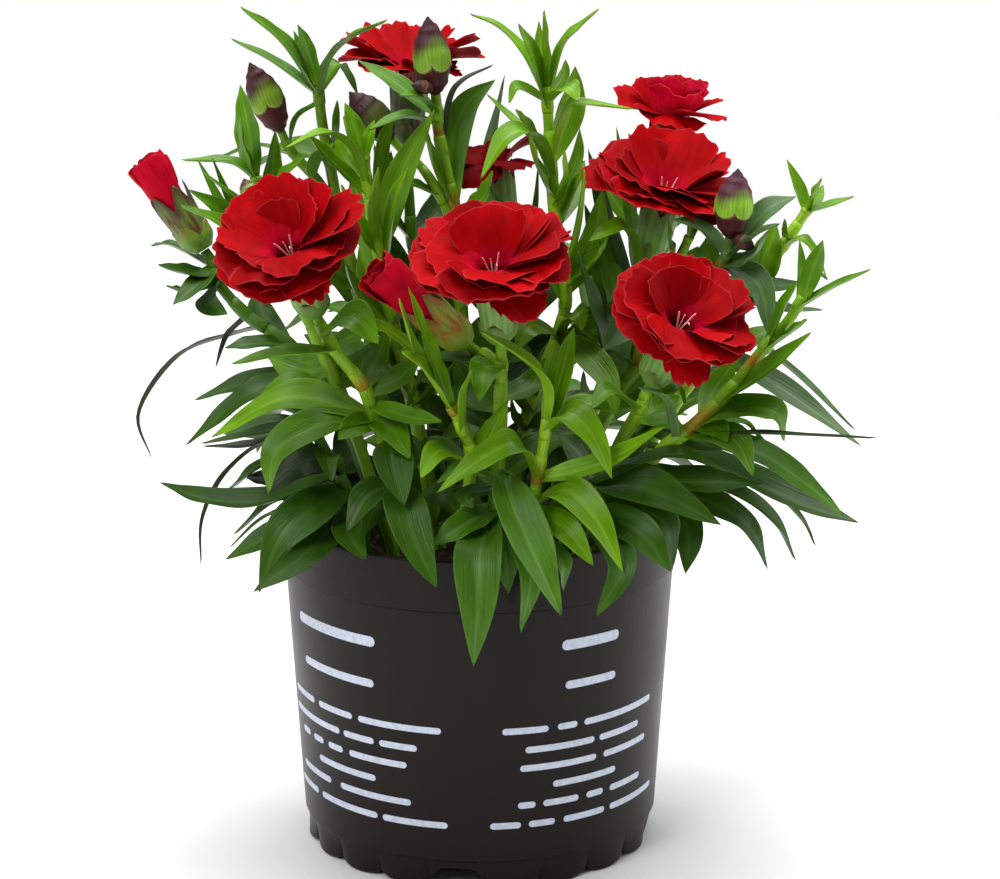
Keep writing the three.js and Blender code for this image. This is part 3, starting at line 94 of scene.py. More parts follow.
# A shoot is one grown piece: a main stem, rooted in the soil at root [x, y], and its branches. Places
# along a stem count its points from 1, and 0 is the root or the fork. A leaf is
# [place along the stem, width, roll in degrees, [points it passes through, its tip last]].
# "from" is the place on the main stem where a branch starts, and "bears" names the flower or bud on
# a stem's end.
SHOOTS = {
    "stem_front_left": [{
        "root": [-16, -22],
        "points": [[-31.5, 131, -34], [-35.5, 141.5, -38], [-42.5, 150.5, -41]],
        "bears": ["flower", "front_left"],
        "leaves": [
            [1.5, 9, 30, [[-24, 144, -34], [-17, 151, -32]]],
            [3.8, 12, 35, [[-38.5, 163, -52], [-30.2, 154, -54]]],
            [3.2, 10, 5, [[-60, 151.5, -50], [-75.3, 148, -50]]],
            [1.0, 13, 25, [[-48, 129.5, -44], [-62, 121, -50], [-64.7, 106.8, -52]]],
            [1.0, 13, 30, [[-57, 138, -34], [-81.9, 124.9, -32]]],
            [1.0, 8, 40, [[-38, 128.5, -44], [-43.2, 124.3, -50]]],
            [1.0, 10, 20, [[-27, 128, -44.5], [-21, 118, -57]]],
            [2.0, 8, 60, [[-31, 149, -30], [-28, 158, -26]]],
            [1.2, 7, 30, [[-21, 131.5, -50], [-11, 130, -56]]],
            [0.4, 12, 20, [[-14, 108, -34], [-6, 100, -42]]],
        ],
    }],
    "stem_front_centre": [{
        "root": [4, -26],
        "points": [[6.2, 128, -38], [6.5, 137, -40], [6.8, 147, -43]],
        "bears": ["flower", "front_centre"],
        "leaves": [
            [0.5, 12, 25, [[-12, 121, -39.5], [-26, 113, -41]]],
            [0.6, 12, 25, [[18, 122, -30], [30, 127, -26]]],
            [3.0, 10, 20, [[2, 147, -50], [-0.2, 136, -54]]],
            [3.0, 8, 10, [[-14, 149, -34], [-24.5, 129.2, -36]]],
            [2.0, 8, 30, [[16, 142, -32], [20, 150, -28]]],
            [1.0, 9, 30, [[-4, 134, -28], [-10, 142, -22]]],
            [1.4, 10, 50, [[-2, 140, -28], [-8, 150, -24]]],
            [0.3, 12, 20, [[-4, 106, -32], [-13, 98, -38]]],
        ],
    }, {
        "from": 3,
        "points": [[2, 151.6, -41]],
        "bears": ["opening_bud", "front"],
        "leaves": [],
    }],
    "stem_front_right": [{
        "root": [24, -18],
        "points": [[44, 125, -30], [49, 134, -36]],
        "bears": ["flower", "front_right"],
        "leaves": [
            [2.8, 9, 40, [[60, 143.5, -37], [62.8, 135.2, -30]]],
            [2.0, 8, 20, [[40, 140, -44], [34, 134, -50]]],
            [1.0, 9, 20, [[56, 130, -29.5], [64, 126, -31]]],
            [1.4, 10, 60, [[54, 134, -24], [61, 138, -20]]],
        ],
    }],
    "stem_upper_right": [{
        "root": [20, 6],
        "points": [[38, 131, -2], [42.6, 140, 0], [48, 148, 2], [50.5, 160, 6], [50.5, 171, 8]],
        "bears": ["flower", "upper_right"],
        "leaves": [
            [0.9, 11, 0, [[48, 136, 24], [64, 132, 40]]],
            [0.6, 12, 30, [[24, 130, -8], [14, 128, -12]]],
            [5.2, 8, 25, [[45, 189, -3], [39, 189, -8], [32.4, 185.3, -10]]],
            [4.2, 12, 45, [[46, 161.5, -12], [36.6, 151.8, -20]]],
            [1.6, 13, 70, [[36.5, 160, -18], [29.5, 183, -20]]],
            [3.0, 8, 30, [[38, 154, -8], [30, 158.5, -14]]],
            [1.2, 12, 60, [[52, 144, 8], [62, 148, 12]]],
            [2.4, 11, 60, [[40, 156, 10], [32, 166, 14]]],
            [0.3, 12, 30, [[29, 113, 14], [37, 108, 22]]],
            [2.4, 9, 70, [[38, 176, 12], [31.5, 197, 14]]],
            [3.4, 8, 70, [[40, 186, 22], [32.4, 213.5, 26]]],
            [4.2, 6, 60, [[46, 192, 34], [40.7, 220.2, 42]]],
            [1.8, 12, 60, [[42, 166, -7], [36, 186, -2]]],
        ],
    }, {
        "from": 4,
        "points": [[57, 173, 0], [63, 187, -2]],
        "leaves": [
            [2, 4, 60, [[63.3, 193.5, 4.5], [63.5, 199.4, 11]]],
            [2, 4, 60, [[65, 193.5, 5], [65.4, 199, 10]]],
            [1.4, 8, 70, [[58, 184, -6], [57, 192, -8]]],
            [1.4, 8, 70, [[68, 181, 2], [69.5, 189, 4]]],
            [1.1, 8, 70, [[53, 178, -6], [53.5, 188, -8]]],
        ],
    }],
    "stem_top_right": [{
        "root": [16, 30],
        "points": [[34, 133, 28], [44, 162, 34], [51, 186, 40]],
        "bears": ["flower", "top_right"],
        "leaves": [
            [0.6, 12, 0, [[34, 122, 52], [44, 100, 74]]],
            [0.8, 12, 0, [[22, 128, 54], [20, 106, 79]]],
            [0.9, 11, 0, [[54, 126, 44], [82, 110, 54]]],
            [1.4, 10, 0, [[48, 150, 50], [62, 142, 70]]],
            [1.0, 11, 0, [[48, 138, 48], [66, 124, 62]]],
            [1.0, 10, 0, [[24, 142, 46], [14, 132, 70]]],
            [2.0, 9, 0, [[60, 172, 46], [76, 166, 60]]],
            [2.0, 9, 10, [[34, 178, 44], [24, 186, 54]]],
            [3.0, 8, 20, [[60, 194, 48], [70, 202, 54]]],
            [3.0, 8, 20, [[42, 196, 46], [34, 211, 50]]],
            [1.3, 13, 60, [[50, 151, 24], [62, 157, 20]]],
            [1.6, 12, 60, [[33, 157, 26], [26, 164, 22]]],
            [2.2, 10, 60, [[38, 178, 34], [32, 190, 34]]],
            [2.2, 10, 60, [[52, 182, 34], [58, 190, 30]]],
            [0.8, 12, 60, [[32, 133, 20], [31.5, 146, 16]]],
            [1.9, 9, 70, [[33, 168, 26], [30, 176, 24]]],
        ],
    }],
    "stem_top_left": [{
        "root": [-12, 28],
        "points": [[-14, 130, 32], [-17, 160, 36], [-20, 186, 39], [-21, 201, 40]],
        "bears": ["flower", "top_left"],
        "leaves": [
            [0.6, 12, 0, [[-20, 124, 52], [-30, 104, 74]]],
            [0.6, 12, 0, [[-6, 126.5, 54], [-2, 105, 80]]],
            [0.8, 11, 0, [[-30, 128, 44], [-52, 116, 56]]],
            [1.3, 10, 0, [[-14, 146, 54], [-14, 140, 74]]],
            [1.0, 11, 0, [[-30, 134, 50], [-42, 118, 62]]],
            [1.0, 11, 0, [[-4, 136, 52], [4, 124, 72]]],
            [2.0, 9, 0, [[-32, 168, 42], [-46, 164, 54]]],
            [2.0, 9, 10, [[-6, 172, 44], [4, 180, 54]]],
            [3.0, 9, 40, [[-28, 198, 34], [-31, 215, 30]]],
            [3.0, 8, 20, [[-12, 197, 50], [-8, 210, 56]]],
            [1.2, 13, 60, [[-27, 142, 26], [-40, 148, 24]]],
            [1.3, 12, 60, [[-9, 151, 24], [-4, 161, 18]]],
            [1.7, 13, 60, [[-30, 163, 30], [-45, 174, 28]]],
            [2.3, 10, 60, [[-27, 182, 36], [-34, 194, 36]]],
        ],
    }],
    "stem_back_centre": [{
        "root": [2, 16],
        "points": [[4, 135, 12], [6, 158, 12], [7.5, 175, 15]],
        "bears": ["flower", "back_centre"],
        "leaves": [
            [0.7, 12, 0, [[8, 128, 40], [10, 118, 66]]],
            [1.4, 10, 0, [[-4, 156, 34], [-10, 152, 56]]],
            [1.0, 11, 30, [[-6, 148, 9], [-16, 152, 12]]],
            [0.6, 12, 25, [[14, 128, 6.5], [27, 129, 5]]],
            [2.0, 8, 60, [[1, 200, 45.5], [7.8, 235.7, 65]]],
            [3.0, 7, 50, [[6, 197, 0], [3.4, 201.6, -4]]],
            [3.0, 7, 40, [[15.5, 188, 3], [17.5, 208, 1]]],
            [2.0, 9, 20, [[-2, 172, 18], [-12, 178, 26]]],
            [2.0, 9, 20, [[14, 172, 16], [22, 182, 26]]],
            [1.0, 11, 0, [[16, 140, 30], [30, 130, 48]]],
            [1.2, 13, 60, [[16, 152, 22], [28, 158, 26]]],
            [1.7, 12, 60, [[18, 168, 4], [27, 172, 2]]],
            [0.9, 13, 50, [[-3, 139, 19], [-11, 144, 21]]],
            [2.3, 10, 60, [[-2, 182, 14], [-8, 192, 18]]],
        ],
    }],
    "stem_left_bud": [{
        "root": [-28, -4],
        "points": [[-44, 140, 0], [-58, 154.5, 6], [-70, 163, 10], [-78.5, 173, 12]],
        "bears": ["opening_bud", "left"],
        "leaves": [
            [4.8, 4, 0, [[-92, 185, 20], [-98.4, 184.4, 24]]],
            [4.3, 8, 20, [[-88, 176.5, 4], [-96.4, 178.6, 0]]],
            [4.0, 6, 5, [[-87, 171, 2], [-94.2, 172.2, -4]]],
            [4.8, 7, 15, [[-86, 171.5, -2], [-92.3, 166.2, -8]]],
            [4.0, 9, 50, [[-81.5, 167.5, 4], [-75.8, 163.2, 0]]],
            [3.0, 3, 0, [[-76, 157, 16], [-79.9, 147, 20]]],
            [2.6, 3, 10, [[-75, 157.5, 26], [-91, 151, 46], [-103.5, 133, 60], [-100, 118, 60]]],
            [1.3, 11, 15, [[-70, 142.5, -2], [-86.6, 136.7, -4]]],
            [1.2, 10, 20, [[-68, 140, -12], [-89.9, 122.3, -16]]],
            [0.8, 8, 10, [[-62, 128, 2], [-85.2, 123.1, 4]]],
            [2.0, 8, 30, [[-66, 165, 12], [-62, 173, 16]]],
            [2.0, 9, 15, [[-68, 154.5, 0], [-77, 153, -2]]],
            [0.9, 6, 10, [[-66, 124, 8], [-84.6, 122.3, 10]]],
            [0.5, 13, 60, [[-39, 120, 8], [-42.5, 131, 10]]],
            [0.4, 10, 30, [[-60, 112, 14], [-72, 112.5, 18]]],
        ],
    }],
    "stem_top_bud": [{
        "root": [-4, 4],
        "points": [
            [-4, 135, 2], [-5.5, 165, 2], [-7, 188, 2], [-7.8, 198, 2], [-10, 209, 2], [-12, 218.5, 2],
        ],
        "bears": ["closed_bud", "top"],
        "leaves": [
            [1.0, 11, 30, [[4, 147, -8], [14, 150, -12]]],
            [2.0, 10, 40, [[1, 174, -4], [8, 180, -8]]],
            [0.5, 12, 30, [[-14, 123, -1], [-24, 122, 0]]],
            [3.2, 9, 50, [[0.5, 198, -2], [4, 207, -4]]],
            [6.8, 6, 20, [[-17, 229.3, -4], [-23.7, 229.4, -8]]],
            [6.4, 6, 10, [[-22, 223.6, -8], [-33, 219, -14]]],
            [6.7, 8, 25, [[-24, 232.8, 6], [-35.4, 239.6, 8]]],
            [4.0, 12, 60, [[-12.5, 208, -6], [-15.5, 219, -8]]],
            [3.9, 10, 50, [[-8.5, 212, 8], [-4, 226, 12], [5, 234, 14]]],
            [5.4, 3, 0, [[-8.5, 228, 9], [-4.5, 234, 12], [4.5, 238.5, 14]]],
            [2.0, 9, 20, [[-14, 172, 8], [-20, 182, 14]]],
            [1.0, 10, 10, [[-14, 143, 8], [-26, 138, 20]]],
            [1.4, 12, 60, [[3, 158, -2], [12, 164, -4]]],
            [0.8, 12, 60, [[-12, 132, -6], [-20, 140, -8]]],
            [1.2, 11, 60, [[-12, 150, -4], [-19, 160, -8]]],
            [1.8, 10, 60, [[-12, 168, -6], [-17, 178, -8]]],
            [0.3, 12, 30, [[4, 113, -4], [12, 105, -8]]],
            [0.8, 12, 50, [[2, 131, -2], [10, 134, -6]]],
        ],
    }, {
        "from": 3,
        "points": [[-12, 200, 0], [-17, 207.8, 2], [-22, 212.2, 5]],
        "bears": ["closed_bud", "centre"],
        "leaves": [[1.0, 5, 20, [[-19, 203, -2], [-25, 203, -6]]]],
    }],
    "stem_right_bud": [{
        "root": [30, 4],
        "points": [[52, 133, 2], [62, 155, -4], [69, 170, -10], [73, 179, -15]],
        "bears": ["closed_bud", "right"],
        "leaves": [
            [0.5, 11, 0, [[56, 120, 28], [80, 104, 40]]],
            [4.7, 8, 20, [[67, 189.5, -13.5], [58.3, 192.3, -15]]],
            [4.6, 10, 25, [[85, 194.5, -15], [94.7, 199.2, -14]]],
            [4.4, 5, 20, [[83, 188.5, -28], [90, 191, -34]]],
            [4.0, 9, 30, [[81, 181, -22], [86.4, 188.7, -26]]],
            [4.0, 9, 30, [[84, 172.5, -22], [88, 155.6, -28]]],
            [3.0, 6, 15, [[90, 165.5, -5], [103.8, 164.7, -4]]],
            [3.3, 9, 20, [[86, 172, -6], [99, 173, -4]]],
            [2.0, 10, 20, [[88, 143, -21], [116.7, 122.1, -44]]],
            [2.6, 6, 10, [[92, 149, 19], [115, 127, -2]]],
            [1.2, 12, 60, [[66, 146, 8], [78, 150, 14]]],
        ],
    }],
    "shoot_top_left": [{
        "root": [-20, 12],
        "points": [
            [-28, 130, 12], [-34, 160, 12], [-41, 190, 10], [-44.5, 210, 9], [-46.4, 221, 8], [-47.5, 232, 8],
        ],
        "leaves": [
            [0.7, 11, 0, [[-36, 124, 34], [-56, 110, 50]]],
            [1.0, 11, 35, [[-39, 143, 1.5], [-50, 145, -5]]],
            [2.0, 10, 35, [[-26, 172, 4], [-18, 178, 0]]],
            [5.8, 10, 25, [[-57, 245, 2], [-70, 255.5, 0]]],
            [5.8, 8, 0, [[-60, 239.5, 12], [-73, 246.2, 16]]],
            [6.0, 5, 50, [[-50.5, 243.5, 8], [-53.2, 250.2, 8]]],
            [5.9, 4, 30, [[-51.5, 240, 14], [-54.4, 248.5, 16]]],
            [5.7, 9, 10, [[-44.5, 240, 4], [-37.5, 247, 2], [-26.5, 251.7, 0]]],
            [5.8, 8, 10, [[-41.5, 239, 14], [-35.6, 229.8, 18]]],
            [5.6, 3, 0, [[-54, 223, 14], [-56.5, 214, 18]]],
            [4.0, 12, 20, [[-57, 214, 22], [-67, 208, 28]]],
            [4.0, 8, 60, [[-42.5, 219, 2], [-42, 228, -2]]],
            [3.0, 9, 10, [[-52, 197, 20], [-62, 192, 30]]],
            [2.0, 10, 0, [[-46, 166, 24], [-60, 158, 36]]],
            [1.0, 11, 0, [[-38, 134, 26], [-54, 122, 44]]],
            [1.5, 12, 50, [[-42, 152, 20], [-53, 157, 26]]],
            [1.4, 11, 60, [[-24, 152, 14], [-20, 162, 16]]],
            [2.4, 10, 60, [[-44, 178, 8], [-50, 188, 10]]],
        ],
    }, {
        "from": 3.3,
        "points": [[-48, 204, 8], [-54.5, 211, 8]],
        "bears": ["closed_bud", "left"],
        "leaves": [
            [2.3, 3, 0, [[-66, 215, 12], [-76, 211.6, 14], [-82, 210.5, 16]]],
            [1.2, 10, 30, [[-47, 213, 0], [-43, 214.5, -4]]],
        ],
    }],
    "shoot_upper_left": [{
        "root": [-26, -14],
        "points": [[-40, 133, -20], [-52, 163, -22], [-62, 187, -20], [-66.5, 205, -18]],
        "leaves": [
            [1.6, 10, 35, [[-36, 158, -28], [-26, 160, -32]]],
            [4.0, 9, 60, [[-68.5, 219, -14], [-70.5, 232.6, -10]]],
            [4.0, 9, 60, [[-69.5, 213, -22], [-70.7, 222.8, -26]]],
            [4.0, 6, 10, [[-74, 210, -18], [-88.5, 210.2, -18]]],
            [3.2, 8, 60, [[-61.5, 205, -14], [-60.3, 219, -12]]],
            [3.6, 6, 40, [[-58, 206, -22], [-51, 211.8, -26]]],
            [2.6, 4, 40, [[-73, 191, -14], [-84.3, 211.5, -8]]],
            [2.7, 4, 40, [[-71, 191, -20], [-79.6, 211.5, -18]]],
            [2.8, 4, 20, [[-70, 196.5, -26], [-82, 206.6, -28]]],
            [2.5, 9, 40, [[-74, 192.5, -26], [-86.6, 201.3, -30]]],
            [2.4, 8, 30, [[-75, 190, -34], [-89.3, 196.6, -38]]],
            [1.0, 10, 20, [[-56, 143, -23], [-70, 134, -24]]],
            [2.0, 8, 40, [[-50, 176, -30], [-46, 186, -30]]],
            [1.4, 11, 60, [[-54, 146, -14], [-64, 150, -10]]],
            [1.3, 10, 60, [[-38, 146, -24], [-32, 154, -26]]],
        ],
    }, {
        "from": 3.1,
        "points": [[-66, 193.5, -25]],
        "bears": ["closed_bud", "small"],
        "leaves": [],
    }],
    "shoot_centre_left": [{
        "root": [-12, -10],
        "points": [[-20, 135, -10], [-26, 160, -12], [-30, 182, -12], [-33, 200, -10], [-34, 211, -9]],
        "leaves": [
            [1.0, 11, 30, [[-28, 150, -16], [-38, 152, -18]]],
            [0.6, 12, 30, [[-6, 128, -20], [5, 124, -24]]],
            [1.7, 10, 45, [[-18, 161, -18], [-12, 169, -20]]],
            [5.0, 6, 50, [[-36.5, 219, -8], [-39.7, 227.3, -6]]],
            [5.0, 5, 50, [[-37.5, 216, -14], [-40, 223.4, -16]]],
            [5.0, 5, 50, [[-32.5, 217, -9.5], [-31, 222, -9]]],
            [4.2, 8, 5, [[-38, 214.5, -16], [-46, 218.6, -20], [-58, 213.5, -26]]],
            [4.0, 7, 45, [[-44.5, 211, -16], [-50.7, 218, -20]]],
            [4.2, 7, 50, [[-39.5, 210, -4], [-42.3, 217, -2]]],
            [3.0, 9, 60, [[-24, 204, -8], [-13, 225.3, -6]]],
            [3.2, 8, 60, [[-31, 196, -20], [-30, 208, -22]]],
            [3.0, 8, 60, [[-37, 193, -20], [-41, 203, -22]]],
            [3.4, 7, 60, [[-27.5, 201, -2], [-26, 213, 0]]],
            [2.0, 9, 50, [[-20, 172, -24], [-17, 182, -28]]],
            [2.0, 9, 40, [[-36, 170, -18], [-40, 179, -20]]],
            [1.0, 9, 20, [[-12, 143, -16], [-6, 150, -18]]],
            [3.0, 7, 70, [[-29, 212, -4], [-25, 224, 0]]],
            [2.6, 8, 70, [[-26, 196, -18], [-21, 208, -22]]],
            [2.5, 8, 70, [[-35, 194, -4], [-38, 206, -2]]],
            [1.6, 9, 60, [[-32, 172, -4], [-36, 184, 0]]],
            [1.2, 10, 60, [[-27, 147, -2], [-31, 157, 2]]],
            [0.3, 12, 30, [[-21, 115, -2], [-28, 107, -2]]],
            [0.4, 12, 30, [[-6, 117, -16], [4, 110, -20]]],
        ],
    }],
    "shoot_top_centre": [{
        "root": [10, 2],
        "points": [
            [15, 133, -4], [24, 157, -6], [26, 172, -4], [23, 191, -2], [21.3, 212, 0], [20, 232, 0],
        ],
        "leaves": [
            [2.6, 9, 50, [[18, 183, -8], [14, 193, -10]]],
            [1.3, 11, 40, [[26, 152, 4], [36, 160, 10]]],
            [5.8, 6, 0, [[13.5, 242, 4], [6, 250, 8], [-2.7, 253.4, 10]]],
            [5.7, 10, 60, [[16.5, 240, -6], [11.8, 250.5, -8]]],
            [6.0, 6, 70, [[20, 244, -2], [19.4, 254.5, -4]]],
            [6.0, 4, 50, [[18.3, 243, 4], [17.7, 251.3, 6]]],
            [5.8, 5, 5, [[24, 243.5, 2], [29, 249.5, 3], [35.5, 255, 4]]],
            [5.8, 4, 60, [[25, 235, 8], [25.7, 240, 10]]],
            [4.9, 9, 60, [[27.5, 226, 8], [28.5, 238, 10]]],
            [5.8, 8, 20, [[26, 232, -8], [29.7, 227.6, -12]]],
            [4.9, 8, 15, [[25, 224, -6], [30, 227.3, -8], [46.3, 225.3, -6]]],
            [5.8, 6, 20, [[12, 232, -2], [8.8, 227, -4]]],
            [4.7, 10, 15, [[16, 218, -12], [8, 217, -16], [0.3, 204, -20]]],
            [4.9, 6, 40, [[15, 220, -4], [11, 225.3, -6]]],
            [4.4, 9, 60, [[17.5, 210, -14], [15, 219, -18]]],
            [4.3, 8, 60, [[25.5, 204, -8], [25.3, 213, -10]]],
            [5.0, 4, 0, [[10, 222.5, 10], [2.4, 229.8, 14]]],
            [4.2, 4, 40, [[29, 210, 4], [30, 219.6, 8]]],
            [4.0, 8, 30, [[28, 202, 14], [31.5, 210, 22]]],
            [3.9, 6, 50, [[28, 201, -6], [31, 207.6, -8]]],
            [2.0, 9, 25, [[32, 151.5, -22], [39, 143, -30], [42, 130.3, -38]]],
            [2.0, 8, 40, [[29, 164, -20], [31.2, 158, -24]]],
            [2.0, 9, 40, [[16, 160, -24], [11, 152, -30]]],
            [3.0, 9, 30, [[34, 180, -8], [38, 186, -10]]],
            [1.0, 10, 20, [[8, 142, -18], [2, 148, -22]]],
            [1.0, 10, 10, [[25, 136, 6], [36, 140, 14]]],
            [1.2, 11, 60, [[16, 147, -12], [12, 158, -15]]],
            [1.6, 10, 60, [[34, 158, 0], [42, 166, 4]]],
            [2.9, 9, 70, [[34, 185, 0], [37, 202, 2]]],
            [0.4, 12, 30, [[22, 118, -8], [32, 112, -14]]],
            [3.2, 7, 70, [[29.5, 190, -12], [31.3, 207.5, -16]]],
            [0.9, 8, 60, [[11, 131, -12], [10, 138, -14]]],
        ],
    }],
    "shoot_right_upper": [{
        "root": [35, -7],
        "points": [[56, 130, -8], [70, 150, -6], [83, 171, 0], [91, 184, 4], [98, 195, 6]],
        "leaves": [
            [5.0, 4, 40, [[95.5, 202, 8], [91.5, 210.4, 10]]],
            [5.0, 5, 40, [[99.5, 200, 4], [102, 204.8, 2]]],
            [5.0, 4, 40, [[101, 199, 10], [102.7, 202.6, 14]]],
            [5.0, 5, 15, [[103.5, 196.5, 4], [112, 199.3, 4]]],
            [4.3, 4, 50, [[91.5, 188, -2], [91.5, 192.5, -4]]],
            [3.0, 10, 60, [[86, 181, -0.5], [89, 191, 3]]],
            [4.0, 4, 15, [[96, 186.8, -2], [100.5, 183, -4], [104.5, 174.5, -6]]],
            [2.0, 9, 20, [[82, 156, -4.5], [92, 160, 1]]],
            [1.0, 10, 10, [[66, 138, 4], [80, 134, 14]]],
        ],
    }],
    "shoot_right": [{
        "root": [28, -27],
        "points": [
            [52, 117, -35], [65.7, 129, -37], [75.2, 138.8, -36], [83, 148.7, -34], [88.3, 155.3, -33],
            [93.5, 161.6, -32], [97.5, 168.5, -31],
        ],
        "leaves": [
            [6.6, 6, 10, [[106, 172, -34], [117.7, 177.3, -38]]],
            [7.0, 6, 50, [[100.5, 178, -30], [103, 186, -28]]],
            [6.9, 4, 10, [[101, 176, -26], [105, 174, -24]]],
            [6.8, 3, 20, [[96.8, 178, -26], [96, 186.1, -24]]],
            [4.6, 9, 50, [[91, 165, -38], [95.5, 173.5, -42]]],
            [4.6, 6, 20, [[94, 158.5, -38], [99, 162, -42]]],
            [2.8, 11, 25, [[88, 147, -42], [100.3, 158, -46]]],
            [2.2, 8, 40, [[72, 141, -28], [79, 151, -24]]],
            [2.0, 12, 25, [[78, 134, -42], [90, 133, -46], [93, 123.5, -48]]],
            [1.8, 3, 0, [[90, 126.7, -50], [121.6, 125, -60]]],
            [1.6, 4, 10, [[79, 130.5, -30], [86, 125, -28], [91.5, 118, -26]]],
            [2.0, 7, 40, [[72.5, 128, -42], [75.8, 123.5, -48]]],
            [1.7, 10, 30, [[77, 125, -46], [84, 112.5, -52]]],
            [1.3, 11, 20, [[74, 123, -26], [88, 119, -22]]],
            [1.5, 6, 25, [[56.5, 137.5, -47], [48.3, 140.7, -56]]],
        ],
    }],
    "shoot_front_right": [{
        "root": [12, -38],
        "points": [[16, 104, -48], [18, 113, -49], [20.8, 131, -50]],
        "leaves": [
            [2.9, 10, 30, [[20, 143, -54], [12.5, 151, -60], [0.1, 158.4, -66]]],
            [2.9, 8, 60, [[25, 146, -50], [28.7, 159.2, -50]]],
            [3.0, 4, 50, [[21, 143, -46], [20.5, 151.4, -44]]],
            [2.8, 10, 30, [[27, 133, -54], [35, 125, -58], [40.7, 111.6, -62]]],
            [2.8, 8, 30, [[32, 135.5, -46], [41, 133, -46]]],
            [1.9, 10, 30, [[12, 123.4, -56], [0, 118, -62], [-13.2, 107.4, -68]]],
            [1.9, 10, 25, [[38, 117.5, -52], [56.6, 128.7, -54]]],
            [1.0, 11, 30, [[26, 108.5, -58], [36, 99, -66], [44.3, 82, -70]]],
            [0.9, 9, 30, [[26, 96.5, -62], [35.3, 84, -68]]],
        ],
    }],
    "shoot_front_left": [{
        "root": [-6, -34],
        "points": [[-2.5, 117, -45], [-5, 127, -49], [-8.6, 135, -51]],
        "leaves": [
            [2.9, 5, 50, [[-18, 150, -56], [-24.1, 168.4, -60]]],
            [3.0, 6, 50, [[-14, 151, -52], [-21.3, 172, -54]]],
            [2.8, 7, 25, [[-20, 152.5, -50], [-35, 163, -50]]],
            [2.8, 9, 35, [[-16, 146.5, -58], [-23.5, 152, -62]]],
            [2.0, 7, 60, [[-5, 139, -56], [-2.3, 146.8, -58]]],
            [1.0, 9, 30, [[3, 126, -51], [9, 137, -46]]],
            [1.0, 9, 20, [[-12, 121, -56], [-18, 112, -64]]],
        ],
    }],
    "shoot_low_front_left": [{
        "root": [-20, -30],
        "points": [[-24.5, 111, -44], [-27, 124, -47]],
        "leaves": [
            [2.0, 12, 0, [[-26, 116, -58], [-23, 103.3, -66]]],
            [2.0, 9, 20, [[-21.5, 121, -51], [-19.7, 114, -52]]],
            [1.0, 13, 0, [[-23, 104, -62], [-19, 90, -72], [-13.2, 77, -77]]],
            [1.0, 10, 20, [[-34, 107, -56], [-41, 95, -62]]],
            [0.5, 11, 30, [[-30, 104, -46], [-36, 94, -56]]],
        ],
    }],
    "shoot_low_front": [{
        "root": [0, -42],
        "points": [[4, 100, -49], [7.5, 114, -52]],
        "leaves": [
            [2.0, 15, 0, [[11, 103, -64], [18, 86, -74], [25.5, 67.6, -78]]],
            [1.0, 14, 0, [[0, 90, -66], [-0.5, 72, -73], [-2, 51.5, -75]]],
            [1.0, 10, 0, [[7.5, 90, -63], [9, 75.2, -66]]],
            [1.2, 9, 30, [[-5, 97.5, -60], [-15, 90.5, -64]]],
            [1.0, 8, 0, [[15.5, 84, -66], [12.7, 62.5, -70]]],
            [1.8, 6, 20, [[-5, 115.5, -58], [-13, 110.7, -62]]],
            [1.6, 6, 20, [[-4, 107, -56], [-1.9, 102.5, -60]]],
            [1.0, 7, 10, [[24, 88, -62], [26, 76, -65]]],
        ],
    }],
    "shoot_low_front_right": [{
        "root": [24, -34],
        "points": [[31, 102, -44], [35, 111, -46]],
        "leaves": [
            [2.0, 15, 35, [[52, 109, -52], [74.4, 97.2, -54]]],
            [1.0, 12, 35, [[48, 96, -58], [59.3, 82.2, -64]]],
            [1.0, 9, 20, [[44, 86, -66], [36, 67.4, -70]]],
            [1.5, 10, 45, [[56, 99, -46], [59.5, 82.7, -48]]],
            [2.0, 13, 25, [[66, 111.5, -42], [86.6, 110.3, -40]]],
            [2.0, 7, 15, [[58, 120, -42.5], [76.5, 114.3, -43]]],
            [2.0, 9, 20, [[30, 121, -36], [24, 126, -32]]],
        ],
    }],
    "shoot_low_right": [{
        "root": [38, -17],
        "points": [[47, 117, -24], [53, 129, -26]],
        "leaves": [
            [1.0, 11, 25, [[66, 107, -32], [82, 98, -34], [89, 82.9, -34]]],
            [1.0, 9, 20, [[76, 109, -22], [91, 98.5, -20], [97.7, 85.6, -18]]],
            [1.4, 5, 20, [[80, 116, -12], [98, 101, -10], [103.7, 90.4, -8]]],
            [1.8, 14, 20, [[84, 111.5, -22], [101, 103.5, -26], [116.6, 98, -30]]],
            [2.0, 11, 25, [[84, 121, -33.7], [100, 110.5, -37.3], [112, 100, -39]]],
            [1.0, 10, 10, [[58, 112, -11], [70, 98, -6]]],
            [1.0, 12, 25, [[58, 106, -33], [64, 94, -40], [63.5, 81.5, -45]]],
        ],
    }],
    "shoot_low_left": [{
        "root": [-34, -16],
        "points": [[-39, 104, -24], [-43, 114, -26]],
        "leaves": [
            [2.0, 12, 15, [[-66, 105.5, -18], [-85, 106.3, -16], [-97.9, 110.9, -16]]],
            [1.0, 12, 25, [[-62, 95, -28], [-78.4, 86.2, -30]]],
            [1.5, 14, 30, [[-50, 103.5, -42], [-61, 94, -48], [-68.3, 75.3, -50]]],
            [1.0, 11, 30, [[-52, 90, -48.5], [-70, 75.7, -57]]],
            [2.0, 3, 0, [[-62.5, 124, -4], [-76.4, 115.7, 2], [-85, 100, 4], [-86, 84, 6]]],
            [1.5, 3, 0, [[-60, 103, -10], [-68, 99, -8], [-77.2, 90, -6]]],
            [2.0, 9, 30, [[-46.5, 121, -44], [-45, 111, -50]]],
            [1.0, 10, 10, [[-40, 95, -50], [-35, 86, -62]]],
            [0.9, 12, 20, [[-52, 109, -20], [-64, 105, -14], [-76, 94, -10]]],
            [2.0, 14, 30, [[-52, 118, -32], [-66, 107, -36]]],
        ],
    }],
    "shoot_low_left_back": [{
        "root": [-36, 8],
